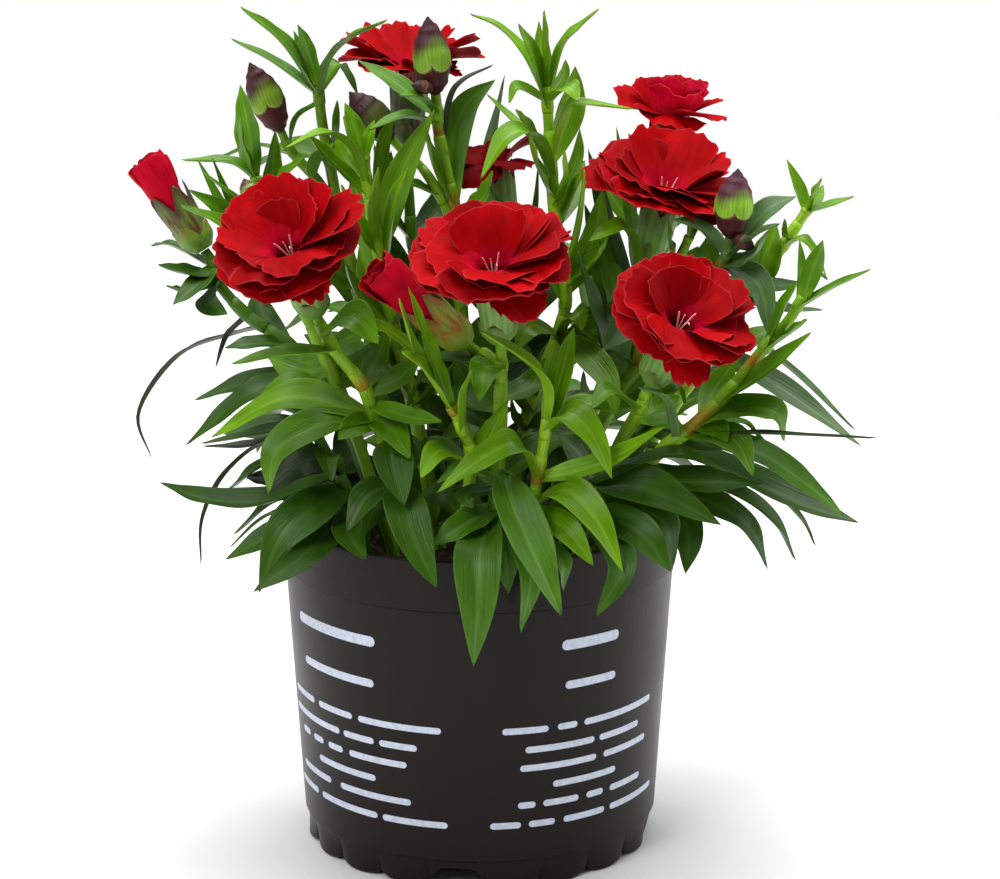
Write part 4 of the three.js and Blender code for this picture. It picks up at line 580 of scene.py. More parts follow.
        "points": [[-46, 118, 12], [-52, 132, 14]],
        "leaves": [
            [2.0, 10, 20, [[-64, 141, 14], [-74, 144, 14]]],
            [2.0, 10, 0, [[-62, 134, 34], [-68, 120, 48]]],
            [1.0, 11, 10, [[-64, 118, 14], [-78, 108, 18]]],
            [1.0, 11, 0, [[-52, 116, 36], [-58, 100, 56]]],
            [2.0, 9, 20, [[-50, 142, 20], [-44, 150, 28]]],
            [1.0, 10, 0, [[-36, 118, 33], [-32, 104, 46]]],
            [1.5, 12, 30, [[-64, 128, 18], [-78, 126, 20]]],
        ],
    }],
}


# ---------------------------------------------------------------- colours

def rgb(red, green, blue):
    """A colour given from 0 to 255 as it shows on a screen, as the linear values that a tint holds."""
    def linear(value):
        value /= 255
        return value / 12.92 if value <= 0.04045 else ((value + 0.055) / 1.055) ** 2.4
    return (linear(red), linear(green), linear(blue))


def mix(a, b, share):
    return a + (b - a) * share


def mixed(colour, other, share):
    return tuple(mix(a, b, share) for a, b in zip(colour, other))


def darkened(colour, factor):
    return tuple(value * factor for value in colour)


def greens(leaf, tip, base, rib, under):
    """The colours of one tone of foliage; a stem has the colour of its leaves' bases."""
    return {
        "leaf": rgb(*leaf), "tip": rgb(*tip), "base": rgb(*base), "rib": rgb(*rib), "under": rgb(*under),
        "stem": rgb(*base),
    }


def darkened_tone(tone, factor):
    return {key: darkened(colour, factor) for key, colour in tone.items()}


TONES = {
    "bright": greens((98, 150, 0), (118, 170, 2), (152, 198, 36), (144, 190, 50), (122, 164, 32)),
    "fresh": greens((77, 127, 0), (92, 144, 2), (134, 182, 34), (116, 164, 50), (98, 146, 36)),
    "deep": greens((66, 110, 17), (75, 121, 17), (88, 138, 30), (108, 150, 70), (88, 128, 48)),
    "glaucous": greens((70, 104, 52), (78, 112, 52), (90, 126, 54), (112, 142, 88), (98, 128, 74)),
    "dark": greens((45, 84, 2), (56, 96, 2), (76, 124, 14), (80, 118, 36), (74, 110, 36)),
    "shadow": greens((26, 44, 12), (34, 48, 14), (40, 58, 18), (44, 60, 22), (40, 54, 20)),
}
SHOOT_TONES = {
    "stem_front_left": "fresh", "stem_front_centre": "fresh", "stem_front_right": "fresh",
    "stem_upper_right": "fresh", "stem_top_right": "fresh", "stem_top_left": "dark",
    "stem_back_centre": "dark", "stem_left_bud": "dark", "stem_top_bud": "fresh",
    "stem_right_bud": "glaucous", "shoot_top_left": "fresh", "shoot_upper_left": "fresh",
    "shoot_centre_left": "bright", "shoot_top_centre": "bright", "shoot_right_upper": "bright",
    "shoot_right": "fresh", "shoot_front_right": "bright", "shoot_front_left": "bright",
    "shoot_low_front_left": "dark", "shoot_low_front": "deep", "shoot_low_front_right": "dark",
    "shoot_low_right": "dark", "shoot_low_left": "dark", "shoot_low_left_back": "dark",
}
# The leaves that differ from the rest of their shoot, as (shoot, number of the stem, number of the leaf).
LEAF_TONES = {
    ("stem_front_left", 0, 4): "bright",
    ("stem_upper_right", 0, 2): "bright",
    ("stem_upper_right", 0, 3): "glaucous",
    ("stem_upper_right", 0, 4): "dark",
    ("stem_upper_right", 0, 10): "dark",
    ("stem_left_bud", 0, 5): "shadow",
    ("stem_left_bud", 0, 6): "shadow",
    ("stem_left_bud", 0, 12): "shadow",
    ("stem_left_bud", 0, 14): "shadow",
    ("stem_top_bud", 0, 9): "shadow",
    ("shoot_right", 0, 9): "shadow",
    ("shoot_right", 0, 14): "glaucous",
    ("shoot_low_right", 0, 4): "deep",
    ("shoot_low_left", 0, 4): "shadow",
    ("shoot_low_left", 0, 9): "shadow",
}
# How much darker than its leaves' tone a shoot's stems are.
STEM_SHADES = {"shoot_top_left": 0.6, "shoot_low_right": 0.7, "stem_left_bud": 0.7}
# Painted shade: leaves near the plant's axis, under this height, are darkened in their colour for the shade
# that falls deep inside the plant.
PAINTED_INNER_SHADE = {"reach": 26, "fade": 30, "height": 160, "shade": 0.42}
LEAF_SHADES = (0.84, 1.14)  # how dark and how bright a leaf can be against its tone
DRY_TIP = rgb(46, 34, 26)
# The joints of main stems that have turned orange-brown. Their rust fades along the stem within
# "reach", and "joint" and "sheath" are how far it covers the green of each.
RUST = {"colour": rgb(176, 92, 24), "reach": 3.2, "joint": 0.85, "sheath": 0.65}
RUSTY_JOINTS = {
    "stem_front_left": [2],
    "stem_upper_right": [3],
    "stem_top_bud": [4, 6],
    "stem_right_bud": [4],
    "shoot_right": [2, 4],
    "shoot_front_right": [2],
    "shoot_front_left": [3],
}
RUSTY_NEAR = 0.3  # how near a rusty joint's place a pair of leaves grows from it
PETAL = {
    # painted shade: the petals' colour deep in the throat, darkened for the shade that falls there
    "throat": rgb(120, 4, 26),
    "blush": rgb(204, 12, 52),
    "middle": rgb(170, 0, 4),
    "bright": rgb(180, 0, 8),
    "shaded": rgb(104, 0, 4),
    "claw": rgb(226, 130, 150),
    "back": rgb(150, 0, 12),
    "bud": rgb(196, 8, 38),
    # painted light: a brighter pink for the backs of the top right flower's petals, which face the camera in
    # shade
    "pink": rgb(232, 20, 62),
    # partly the margins' own paler colour, partly a painted highlight where the edges catch the light
    "edge": rgb(226, 84, 92),
    "style": rgb(250, 214, 206),
    "ovary": rgb(150, 176, 90),
}


def calyx_colours(groove, rib, foot, mouth, bract, bract_tip, blotch):
    return {
        "groove": rgb(*groove), "rib": rgb(*rib), "foot": rgb(*foot), "mouth": rgb(*mouth),
        "bract": rgb(*bract), "bract_tip": rgb(*bract_tip), "blotch": rgb(*blotch),
    }


FLOWER_CALYX = calyx_colours(
    groove=(104, 148, 66), rib=(138, 178, 92), foot=(118, 164, 54), mouth=(126, 134, 62),
    bract=(108, 152, 62), bract_tip=(104, 110, 50), blotch=(126, 166, 84),
)
DARK_CALYX = calyx_colours(
    groove=(46, 84, 14), rib=(64, 104, 24), foot=(58, 98, 24), mouth=(70, 28, 38),
    bract=(60, 88, 32), bract_tip=(84, 48, 38), blotch=(66, 28, 38),
)
DARK_CALYX_FLOWERS = ["top_left"]
BUD_CALYX_COLOURS = {
    "left": calyx_colours(
        groove=(88, 108, 36), rib=(108, 132, 44), foot=(104, 148, 36), mouth=(62, 26, 28),
        bract=(104, 148, 36), bract_tip=(120, 92, 36), blotch=(92, 36, 30),
    ),
    "front": calyx_colours(
        groove=(124, 134, 36), rib=(142, 162, 50), foot=(118, 158, 40), mouth=(128, 62, 26),
        bract=(122, 158, 40), bract_tip=(166, 92, 26), blotch=(170, 84, 26),
    ),
}
BUD_DARKER = {"base": 0.55, "band": 0.6, "tip": 0.45}


def bud_colours(base, band, rim, tip):
    """A closed bud's base, the band of its calyx teeth, the band's lower rim, and its tip."""
    return {
        "base": rgb(*base), "base_dark": darkened(rgb(*base), BUD_DARKER["base"]),
        "band": rgb(*band), "band_streak": darkened(rgb(*band), BUD_DARKER["band"]),
        "rim": rgb(*rim), "tip": rgb(*tip), "tip_dark": darkened(rgb(*tip), BUD_DARKER["tip"]),
    }


BUD_COLOURS = {
    "left": bud_colours((92, 20, 28), (146, 186, 50), (196, 226, 110), (70, 20, 30)),
    "top": bud_colours((78, 28, 26), (138, 184, 48), (200, 230, 120), (70, 24, 34)),
    "centre": bud_colours((62, 30, 28), (92, 96, 34), (112, 118, 50), (66, 26, 32)),
    "right": bud_colours((92, 30, 38), (152, 212, 44), (200, 232, 120), (92, 44, 58)),
    "withered": bud_colours((84, 40, 34), (110, 66, 44), (196, 160, 120), (60, 26, 26)),
    "small": bud_colours((112, 156, 60), (160, 196, 110), (186, 214, 140), (104, 60, 48)),
}
POT_TINT = rgb(24, 17, 13)
PRINT_TINT = rgb(206, 214, 232)
SOIL_TINT = rgb(52, 38, 28)
SOIL_LIGHT = rgb(112, 88, 62)


# ---------------------------------------------------------------- curves and meshes

def smooth(share):
    """Eases a share from 0 to 1."""
    share = min(max(share, 0), 1)
    return share * share * (3 - 2 * share)


def ramp(value, start, span):
    """Eases from 0 at the start to 1 at the end of the span."""
    return smooth((value - start) / span)


def bell(distance):
    """1 at no distance, next to nothing at 2."""
    return math.exp(-(distance ** 2))


def track(stops, place):
    """The value at a place along a list of (place, value) stops."""
    for (start, low), (end, high) in zip(stops, stops[1:]):
        if place <= end:
            return mix(low, high, smooth((place - start) / (end - start)))
    return stops[-1][1]


def circle(count):
    """Angles spread evenly round a full turn."""
    return [2 * math.pi * i / count for i in range(count)]


def seen(point):
    """Where a layout point is."""
    x, z, y = point
    scale = 1 - y / EYE.y
    return Vector((EYE.x + (x - EYE.x) * scale, y, EYE.z + (z - EYE.z) * scale))


def frame_along(heading, guide=RIGHT):
    """Two directions square to a heading, the first as near to the guide as can be."""
    side = (guide - heading * guide.dot(heading)).normalized()
    return side, heading.cross(side)


class Path:
    """A smooth curve through points: place 0 is the first of them and place 1 the last."""

    def __init__(self, points):
        self.points = [Vector(point) for point in points]
        self.length = sum((b - a).length for a, b in zip(self.points, self.points[1:]))

    def span(self, place):
        last = len(self.points) - 1
        reach = min(max(place, 0), 1) * last
        index = min(int(reach), last - 1)
        start, end = self.points[index], self.points[index + 1]
        before = self.points[index - 1] if index else 2 * start - end
        after = self.points[index + 2] if index + 2 <= last else 2 * end - start
        return start, end, (end - before) / 2, (after - start) / 2, reach - index

    def at(self, place):
        start, end, leave, arrive, t = self.span(place)
        bend = 3 * (end - start) - 2 * leave - arrive
        turn = leave + arrive - 2 * (end - start)
        return start + t * (leave + t * (bend + t * turn))

    def heading(self, place):
        start, end, leave, arrive, t = self.span(place)
        bend = 3 * (end - start) - 2 * leave - arrive
        turn = leave + arrive - 2 * (end - start)
        return (leave + t * (2 * bend + 3 * t * turn)).normalized()

    def ring(self, place, radius, angles):
        """A circle of points round the path and square to it."""
        centre = self.at(place)
        side, over = frame_along(self.heading(place))
        return [centre + radius * (side * math.cos(a) + over * math.sin(a)) for a in angles]


class Axis:
    """A flower's own frame: angles run round its axis from the front, positive to the left."""

    def __init__(self, base, top):
        self.base = base
        self.length = (top - base).length
        self.direction = (top - base).normalized()
        towards = -Vector((0, 1, 0))
        self.front = (towards - self.direction * towards.dot(self.direction)).normalized()
        self.left = self.direction.cross(self.front) * -1

    def outward(self, angle):
        return self.front * math.cos(angle) + self.left * math.sin(angle)

    def point(self, radius, height, angle):
        return self.base + self.direction * height + self.outward(angle) * radius


def axis_of(kind, name):
    """The axis of a flower or bud, from its base up."""
    table, top = {
        "flower": (FLOWERS, "throat"),
        "opening_bud": (OPENING_BUDS, "end"),
        "closed_bud": (CLOSED_BUDS, "tip"),
        "withered_bud": (WITHERED_BUDS, "tip"),
    }[kind]
    return Axis(seen(table[name]["base"]), seen(table[name][top]))


def link(name, data):
    """Makes an object of its data and shows it in the scene."""
    made = bpy.data.objects.new(name, data)
    bpy.context.collection.objects.link(made)
    return made


class Mesh:
    """Gathers closed shells. Each point has a tint, and a grain: its place in the surface's own fibres."""

    def __init__(self):
        self.points = []
        self.faces = []
        self.tints = []
        self.grains = []

    def add(self, points, tints, grains=None):
        """Takes in points and gives their numbers. tints is a list, or one tint for all the points."""
        first = len(self.points)
        self.points += points
        self.tints += tints if isinstance(tints, list) else [tints] * len(points)
        self.grains += grains or [(0, 0, 0)] * len(points)
        return list(range(first, len(self.points)))

    def skin(self, rings):
        """Closes a run of rings of equal size into a tube; a ring of one point makes a pointed end.

        A wider end is closed by strips that run across it, between its two halves.
        """
        for ring, following in zip(rings, rings[1:]):
            count = max(len(ring), len(following))
            for i in range(count):
                corners = [ring[i % len(ring)], ring[(i + 1) % len(ring)]]
                corners += [following[(i + 1) % len(following)], following[i % len(following)]]
                self.faces.append(tuple(dict.fromkeys(corners)))
        for end in (rings[0], rings[-1]):
            for i in range(len(end) // 2 - 1):
                self.faces.append((end[i], end[i + 1], end[-2 - i], end[-1 - i]))

    def torus(self, rings):
        """Joins rings of equal size into a tube, and the last of them to the first."""
        for ring, following in zip(rings, rings[1:] + rings[:1]):
            for i in range(len(ring)):
                after = (i + 1) % len(ring)
                self.faces.append((ring[i], ring[after], following[after], following[i]))

    def piece(self, name, node, slot, *materials, sharp=None, second_from=None):
        """Makes the object that stands for a CAD node.

        The faces from second_from on have the second material.
        """
        mesh = bpy.data.meshes.new(name)
        mesh.from_pydata([tuple(point * MM) for point in self.points], [], self.faces)
        for label, values in (("tint", self.tints), ("grain", self.grains)):
            attribute = mesh.attributes.new(label, "FLOAT_VECTOR", "POINT")
            attribute.data.foreach_set("vector", [number for value in values for number in value])
        shape = bmesh.new()
        shape.from_mesh(mesh)
        bmesh.ops.recalc_face_normals(shape, faces=shape.faces)
        shape.to_mesh(mesh)
        shape.free()
        mesh.shade_smooth()
        if sharp:
            mesh.set_sharp_from_angle(angle=math.radians(sharp))
        for material in materials:
            mesh.materials.append(material)
        if second_from is not None:
            for polygon in mesh.polygons[second_from:]:
                polygon.material_index = 1
        made = link(name, mesh)
        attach(made, "root")
        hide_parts(node)


# ---------------------------------------------------------------- stems and leaves

# Radii at the root, at the end and of a branch. The neck is the straight stretch under a flower or
# bud, and a ring stands at each of "steps" between two points.
STEM = {"base": 2.1, "top": 1.5, "branch": 1.3, "neck": 5, "sides": 12, "steps": 9, "decimals": 5}
STEM_ROOT_HEIGHTS = (83, 93)
# A joint's swelling as a share of the radius, its half length, and its extra rings in half lengths.
JOINT = {"swell": 0.08, "length": 2.4, "rings": (-1.5, -1, -0.5, 0, 0.5, 1, 1.5)}
# The pair of leaf bases clasps the stem over each joint: the sleeve's length, how far it stands off,
# and its rings as (share of the length above the joint, share of the stand-off).
SHEATH = {
    "length": 7.5, "extra": 0.12, "grain": 5,
    "rings": ((-0.3, 0.3), (-0.2, 0.9), (0, 1.35), (0.3, 1.2), (0.65, 1), (1, 0.45)),
}
ROOTED = 0.3  # how far a leaf or a stem's end reaches into what it grows from
LEAF = {"base_width": 3.2, "wide_at": 0.4, "taper": 0.95, "stations": 26, "spacing": 0.95, "finest": 0.05}
LEAF_COLUMNS = (-1, -0.93, -0.75, -0.5, -0.2, 0, 0.2, 0.5, 0.75, 0.93, 1)
# Thickness in the middle and at the edge, the keel's depth and width, and how deep the channel is as a
# share of the half width. Where the blade is narrower than full_keel or full_wave, those shrink.
BLADE = {
    "thickness": 0.34, "edge": 0.08, "keel": 0.45, "keel_width": 0.25, "full_keel": 2,
    "fold": 0.3, "fold_level": 0.35, "fold_power": 1.5, "fold_loss": 0.5, "full_wave": 3, "wave_start": 3,
}
# Where along a leaf its colours change, and how broad and how strong its pale midrib and margin are.
BLADE_TINTS = {
    "base_fade": 5, "tip_power": 4, "dry_from": 0.93, "under": 0.7,
    "rib_width": 0.12, "rib": 0.5, "margin_from": 0.9, "margin": 0.6,
}
# The ranges that one leaf's waves and folding are drawn from.
LEAF_RANGES = {"wave": (0.1, 0.5), "waves": (1.5, 3.5), "seed": (0, 50), "fold": (0.7, 1.4)}
DRY_TIPS = (0, 0.5, 0.9)  # how dry a leaf's tip may be
WAVE_TURN = 6.28  # a full turn in radians, close enough for waves


class Stem:
    """The line of one stem, from its root or its fork to the flower or bud that it bears."""

    def __init__(self, row, trunk):
        points = [seen(point) for point in row["points"]]
        if "root" in row:
            x, y = row["root"]
            points = [Vector((x, y, height)) for height in STEM_ROOT_HEIGHTS] + points
            self.first = 1
            self.start, self.end = STEM["base"], STEM["top"]
        else:
            points = [trunk.point(row["from"])] + points
            self.first = 0
            self.start = self.end = STEM["branch"]
        if "bears" in row:
            borne = axis_of(*row["bears"])
            points += [borne.base - borne.direction * STEM["neck"], borne.base - borne.direction * ROOTED]
        self.path = Path(points)
        self.joints = sorted({leaf[0] for leaf in row["leaves"]})

    def place(self, at):
        return (at + self.first) / (len(self.path.points) - 1)

    def point(self, at):
        return self.path.at(self.place(at))

    def radius(self, place):
        return mix(self.start, self.end, place)


def add_stem(mesh, stem, colours, rusty_joints):
    """A round stem with a swelling at each joint; the rusty ones are tinted."""
    length = stem.path.length
    joints = [stem.place(at) for at in stem.joints]
    rusty = [stem.place(at) for at in rusty_joints]
    steps = (len(stem.path.points) - 1) * STEM["steps"]
    places = [i / steps for i in range(steps + 1)]
    for joint in joints:
        places += [joint + shift * JOINT["length"] / length for shift in JOINT["rings"]]
    places = sorted({round(place, STEM["decimals"]) for place in places if 0 <= place <= 1})
    angles = circle(STEM["sides"])
    rings = []
    for place in places:
        near = min(sum(bell((place - joint) * length / JOINT["length"]) for joint in joints), 1)
        rust = min(sum(bell((place - joint) * length / RUST["reach"]) for joint in rusty), 1)
        radius = stem.radius(place) * (1 + JOINT["swell"] * near)
        tint = mixed(mixed(colours["stem"], colours["base"], near), RUST["colour"], rust * RUST["joint"])
        grains = [(radius * a, place * length, 0) for a in angles]
        rings.append(mesh.add(stem.path.ring(place, radius, angles), tint, grains))
    mesh.skin(rings)


def add_sheath(mesh, stem, at, colours, rusty):
    """The joined bases of a pair of leaves, a thin sleeve over the joint."""
    angles = circle(STEM["sides"])
    rings = []
    for share, grown in SHEATH["rings"]:
        place = min(max(stem.place(at) + share * SHEATH["length"] / stem.path.length, 0), 1)
        radius = stem.radius(place) * (1 + JOINT["swell"] * grown) + SHEATH["extra"] * grown
        rust = RUST["sheath"] * (1 - smooth(share)) if rusty else 0
        grains = [(radius * a, share * SHEATH["grain"], 1) for a in angles]
        ring = stem.path.ring(place, radius, angles)
        rings.append(mesh.add(ring, mixed(colours["base"], RUST["colour"], rust), grains))
    mesh.skin(rings)


def leaf_path(stem, row):
    at, width, roll, points = row
    points = [seen(point) for point in points]
    node = stem.point(at)
    return Path([node + (node - points[0]).normalized() * ROOTED] + points)


def half_width(place, width):
    """Half a leaf's width at a place between its base, 0, and its tip, 1."""
    if place < LEAF["wide_at"]:
        grown = math.sin(place / LEAF["wide_at"] * math.pi / 2)
        return mix(LEAF["base_width"], width, grown) / 2
    closing = (place - LEAF["wide_at"]) / (1 - LEAF["wide_at"])
    return width / 2 * max(math.cos(closing * math.pi / 2), 0) ** LEAF["taper"]


def blade_tint(place, dry, colours):
    """A leaf's colour at a place along it: pale at the base, its own tint at the tip, or dry there."""
    shade = mixed(colours["leaf"], colours["base"], max(0, 1 - place * BLADE_TINTS["base_fade"]))
    shade = mixed(shade, colours["tip"], place ** BLADE_TINTS["tip_power"])
    drying = ramp(place, BLADE_TINTS["dry_from"], 1 - BLADE_TINTS["dry_from"])
    return mixed(shade, DRY_TIP, dry * drying)


def add_leaf(mesh, path, row, colours, rng):
    """A channelled blade with a keel, narrowing to a fine tip; it rises a little along its edges."""
    width, roll = row[1], row[2]
    chord = path.at(1) - path.at(0)
    flat = chord.cross(UP).normalized()
    flat.rotate(Quaternion(chord.normalized(), math.radians(roll) * (1 if chord.x >= 0 else -1)))
    wave, waves = rng.uniform(*LEAF_RANGES["wave"]), rng.uniform(*LEAF_RANGES["waves"])
    phase, seed = rng.uniform(0, WAVE_TURN), rng.uniform(*LEAF_RANGES["seed"])
    fold = BLADE["fold"] * rng.uniform(*LEAF_RANGES["fold"])
    dry = rng.choice(DRY_TIPS)
    rings = []
    for i in range(LEAF["stations"]):
        place = (i / (LEAF["stations"] - 1)) ** LEAF["spacing"]
        along = place * chord.length
        half = half_width(place, width)
        centre = path.at(place)
        shade = blade_tint(place, dry, colours)
        if half < LEAF["finest"]:
            rings.append(mesh.add([centre], shade, [(0, along, seed)]))
            break
        heading = path.heading(place)
        side = (flat - heading * flat.dot(heading)).normalized()
        over = side.cross(heading)
        sunk = fold * half * (1 - BLADE["fold_loss"] * place)
        wavy = wave * smooth(place * BLADE["wave_start"]) * math.sin(waves * WAVE_TURN * place + phase)
        wavy *= min(half / BLADE["full_wave"], 1)
        upper, tints = [], []
        for across in LEAF_COLUMNS:
            rise = sunk * (abs(across) ** BLADE["fold_power"] - BLADE["fold_level"])
            rise += wavy * across * abs(across)
            upper.append(centre + side * across * half + over * rise)
            margin = ramp(abs(across), BLADE_TINTS["margin_from"], 1 - BLADE_TINTS["margin_from"])
            rib = bell(across / BLADE_TINTS["rib_width"]) * BLADE_TINTS["rib"]
            tints.append(mixed(shade, colours["rib"], rib + BLADE_TINTS["margin"] * margin))
        lower = []
        inner = list(zip(LEAF_COLUMNS, upper))[-2:0:-1]
        for across, point in inner:
            keel = BLADE["keel"] * bell(across / BLADE["keel_width"]) * min(half / BLADE["full_keel"], 1)
            lower.append(point - over * (BLADE["thickness"] * (1 - across * across) + keel + BLADE["edge"]))
        tints += [mixed(shade, colours["under"], BLADE_TINTS["under"])] * len(lower)
        columns = LEAF_COLUMNS + tuple(across for across, point in inner)
        grains = [(across * half, along, seed) for across in columns]
        rings.append(mesh.add(upper + lower, tints, grains))
    mesh.skin(rings)


# ---------------------------------------------------------------- petals

# A petal's narrow claw runs up inside the calyx, and its blade spreads outside.
CLAW = {
    "start_radius": 2.6, "start_height": 6, "end_height": 21.5, "half_width": 1.6, "rows": (0, 0.35, 0.7),
}
MOUTH = {"flower": 4, "bud": 5.3, "bud_centre": 2}  # how far from the axis the petals leave the calyx
# The rows and columns of points in a blade stand closer together towards its margins.
PETAL_ROWS = (
    0, 0.05, 0.11, 0.18, 0.25, 0.33, 0.41, 0.49, 0.57, 0.65, 0.73, 0.8, 0.86, 0.91, 0.95, 0.98, 0.992, 1,
)
PETAL_COLUMNS = (-1, -0.985, -0.95, -0.89, -0.8, -0.7, -0.58, -0.44, -0.3, -0.15, 0)
PETAL_COLUMNS += tuple(-column for column in reversed(PETAL_COLUMNS[:-1]))
# A sheet's thickness in the middle, and how much of it is lost at the sides.
SHEET = {"thickness": 0.3, "loss": 0.5}
# A blade bends from its start to its lean within a share of its length, and its margin rolls back last.
BEND = {"steps": 40, "within": 0.35, "span": 0.8, "start": 0.1, "roll_power": 3, "short_of_end": 0.001}
# How the margin falls off to the sides, how sharp its notches are, and how uneven it is.
OUTLINE = {"round": 0.2, "round_power": 2.6, "notch_power": 3, "uneven": 0.05, "uneven_scale": 1.7}
# The blade is at its full width near the margin; where it wraps, its radius counts as "tightest" or more.
FAN = {"open_by": 1.08, "power": 0.8, "tightest": 3}
# The depth and the scales of a blade's creases, and where its waves, frill and slope set in.
RELIEF = {
    "wave_power": 1.5, "crease": 1.1, "crease_across": 2.2, "crease_along": 1.3,
    "frill_waves": 0.6, "frill_start": 0.6, "frill_span": 0.4, "slope_by": 1.5,
}
# The ranges that one petal's shape is drawn from; the teeth are added to its own number of them.
PETAL_RANGES = {
    "waves": (1.1, 1.9), "ruffle": (0.7, 1.3), "twist": (-0.12, 0.12), "seed": (0, 60), "cup": (0.4, 1),
    "teeth": (-2, 2),
}
# Where along a petal one tint eases into the next, as (start, span), starting from the painted shade of the
# throat.
PETAL_TINTS = {"blush": (0, 0.12), "middle": (0.1, 0.35), "bright": (0.4, 0.6), "back": (0, 0.35)}
# The pale rim of a petal, partly its own paler margin and partly a painted highlight where the edges catch
# the light: its start and span along the blade and across it, and how strong it is.
RIM_HIGHLIGHT = {"along": (0.975, 0.025), "across": (0.95, 0.05), "sides_from": (0.35, 0.3), "strength": 0.26}
PETAL_GRAIN = 6  # the half width, in millimetres, that every petal's veins are drawn at


def petal_line(mouth, lean, length, roll):
    """Radius, height and heading along a petal's blade, from the mouth of the calyx to its margin."""
    line = []
    radius, height = mouth, CLAW["end_height"]
    for i in range(BEND["steps"] + 1):
        share = i / BEND["steps"]
        bent = smooth(share / BEND["within"] * BEND["span"] + BEND["start"])
        heading = math.radians(lean * bent + roll * share ** BEND["roll_power"])
        line.append((radius, height, heading))
        radius += math.sin(heading) * length / BEND["steps"]
        height += math.cos(heading) * length / BEND["steps"]
    return line


def petal_tint(reach, shade):
    """Painted shade at the throat, where the petal sinks into the flower, then a pink blush, then full red, a
    little brighter towards the margin.
    """
    colour = PETAL["throat"]
    for name in ("blush", "middle", "bright"):
        colour = mixed(colour, PETAL[name], ramp(reach, *PETAL_TINTS[name]))
    return mixed(colour, PETAL["shaded"], shade)


class Petal:
    """A broad fan on a narrow claw, with a softly ruffled, toothed margin."""

    def __init__(self, shape, rng):
        self.shape = shape
        self.line = petal_line(shape["mouth"], shape["lean"], shape["length"], shape["roll"])
        self.phase = rng.uniform(0, WAVE_TURN)
        self.waves = rng.uniform(*PETAL_RANGES["waves"])
        self.ruffle = shape["ruffle"] * rng.uniform(*PETAL_RANGES["ruffle"])
        self.twist = rng.uniform(*PETAL_RANGES["twist"])
        self.seed = rng.uniform(*PETAL_RANGES["seed"])
        self.cup = rng.uniform(*PETAL_RANGES["cup"]) * shape["cup"]
        self.teeth = shape["teeth"] + rng.randint(*PETAL_RANGES["teeth"])

    def margin(self, across):
        """How much of its length the blade has at a place across it."""
        notch = 0.5 + 0.5 * math.cos(self.teeth * math.pi * across + self.phase)
        reach = 1 - OUTLINE["round"] * abs(across) ** OUTLINE["round_power"]
        reach -= self.shape["tooth"] * notch ** OUTLINE["notch_power"]
        spot = Vector((across * OUTLINE["uneven_scale"], self.seed, 0))
        return reach + OUTLINE["uneven"] * noise.noise(spot)

    def along(self, reach):
        """Radius, height and heading at a place along the blade, and its half width there."""
        index = min(reach * BEND["steps"], BEND["steps"] - BEND["short_of_end"])
        low, high = self.line[int(index)], self.line[int(index) + 1]
        radius, height, heading = (mix(a, b, index % 1) for a, b in zip(low, high))
        opened = math.sin(min(reach * FAN["open_by"], 1) * math.pi / 2) ** FAN["power"]
        return radius, height, heading, mix(self.shape["waist"], self.shape["half_width"], opened)

    def relief(self, across, reach):
        """How far the blade rises over its line: ruffles, creases, a frilled margin and a dished form."""
        wavy = math.sin(self.waves * math.pi * across + self.phase) * self.ruffle
        wavy *= smooth(reach) ** RELIEF["wave_power"]
        spot = Vector((across * RELIEF["crease_across"], reach * RELIEF["crease_along"], self.seed))
        crease = noise.noise(spot) * RELIEF["crease"] * smooth(reach)
        frill = math.sin(self.teeth * math.pi * across * RELIEF["frill_waves"] + self.phase)
        frill *= self.shape["frill"] * ramp(reach, RELIEF["frill_start"], RELIEF["frill_span"])
        slope = self.shape["tilt"] * across * smooth(reach * RELIEF["slope_by"])
        return wavy + crease + frill + (self.cup * across * across * reach + slope)

    def tints(self, across, share, reach):
        """The tints of the sheet's front and of its back, both paler at the rim, partly a painted highlight.
        """
        end = ramp(share, *RIM_HIGHLIGHT["along"])
        side = ramp(abs(across), *RIM_HIGHLIGHT["across"]) * ramp(reach, *RIM_HIGHLIGHT["sides_from"])
        under = PETAL[self.shape["back"]]
        if self.shape["back"] == "back":
            under = mixed(PETAL["claw"], under, ramp(reach, *PETAL_TINTS["back"]))
        sides = (petal_tint(reach, self.shape["shade"]), under)
        return [mixed(tint, PETAL["edge"], max(end, side) * RIM_HIGHLIGHT["strength"]) for tint in sides]

    def row(self, mesh, axis, angle, share, on_blade):
        """Adds the ring of points round the sheet at one place along the claw or the blade."""
        front, back, front_tints, back_tints, grains = [], [], [], [], []
        for across in PETAL_COLUMNS:
            if on_blade:
                reach = share * self.margin(across)
                radius, height, heading, width = self.along(reach)
            else:
                reach, heading, width = 0, 0, CLAW["half_width"]
                radius = mix(CLAW["start_radius"], self.shape["mouth"], share)
                height = mix(CLAW["start_height"], CLAW["end_height"], share)
            x = across * width
            turn = angle + self.twist * reach + self.shape["wrap"] * x / max(radius, FAN["tightest"])
            outward = axis.outward(turn)
            sideways = axis.direction.cross(outward) * -1
            normal = axis.direction * math.sin(heading) - outward * math.cos(heading)
            point = axis.point(radius, height, turn) + sideways * x * (1 - self.shape["wrap"])
            point += normal * self.relief(across, reach)
            thickness = SHEET["thickness"] * (1 - SHEET["loss"] * smooth(reach) * abs(across))
            front.append(point)
            back.append(point - normal * thickness)
            upper, under = self.tints(across, share, reach)
            front_tints.append(upper)
            back_tints.append(under)
            grains.append((across * PETAL_GRAIN, reach * self.shape["length"], self.seed))
        return mesh.add(front + back[::-1], front_tints + back_tints[::-1], grains + grains[::-1])

    def add(self, mesh, axis, angle):
        rings = [self.row(mesh, axis, angle, share, False) for share in CLAW["rows"]]
        rings += [self.row(mesh, axis, angle, share, True) for share in PETAL_ROWS]
        mesh.skin(rings)


# ---------------------------------------------------------------- flowers

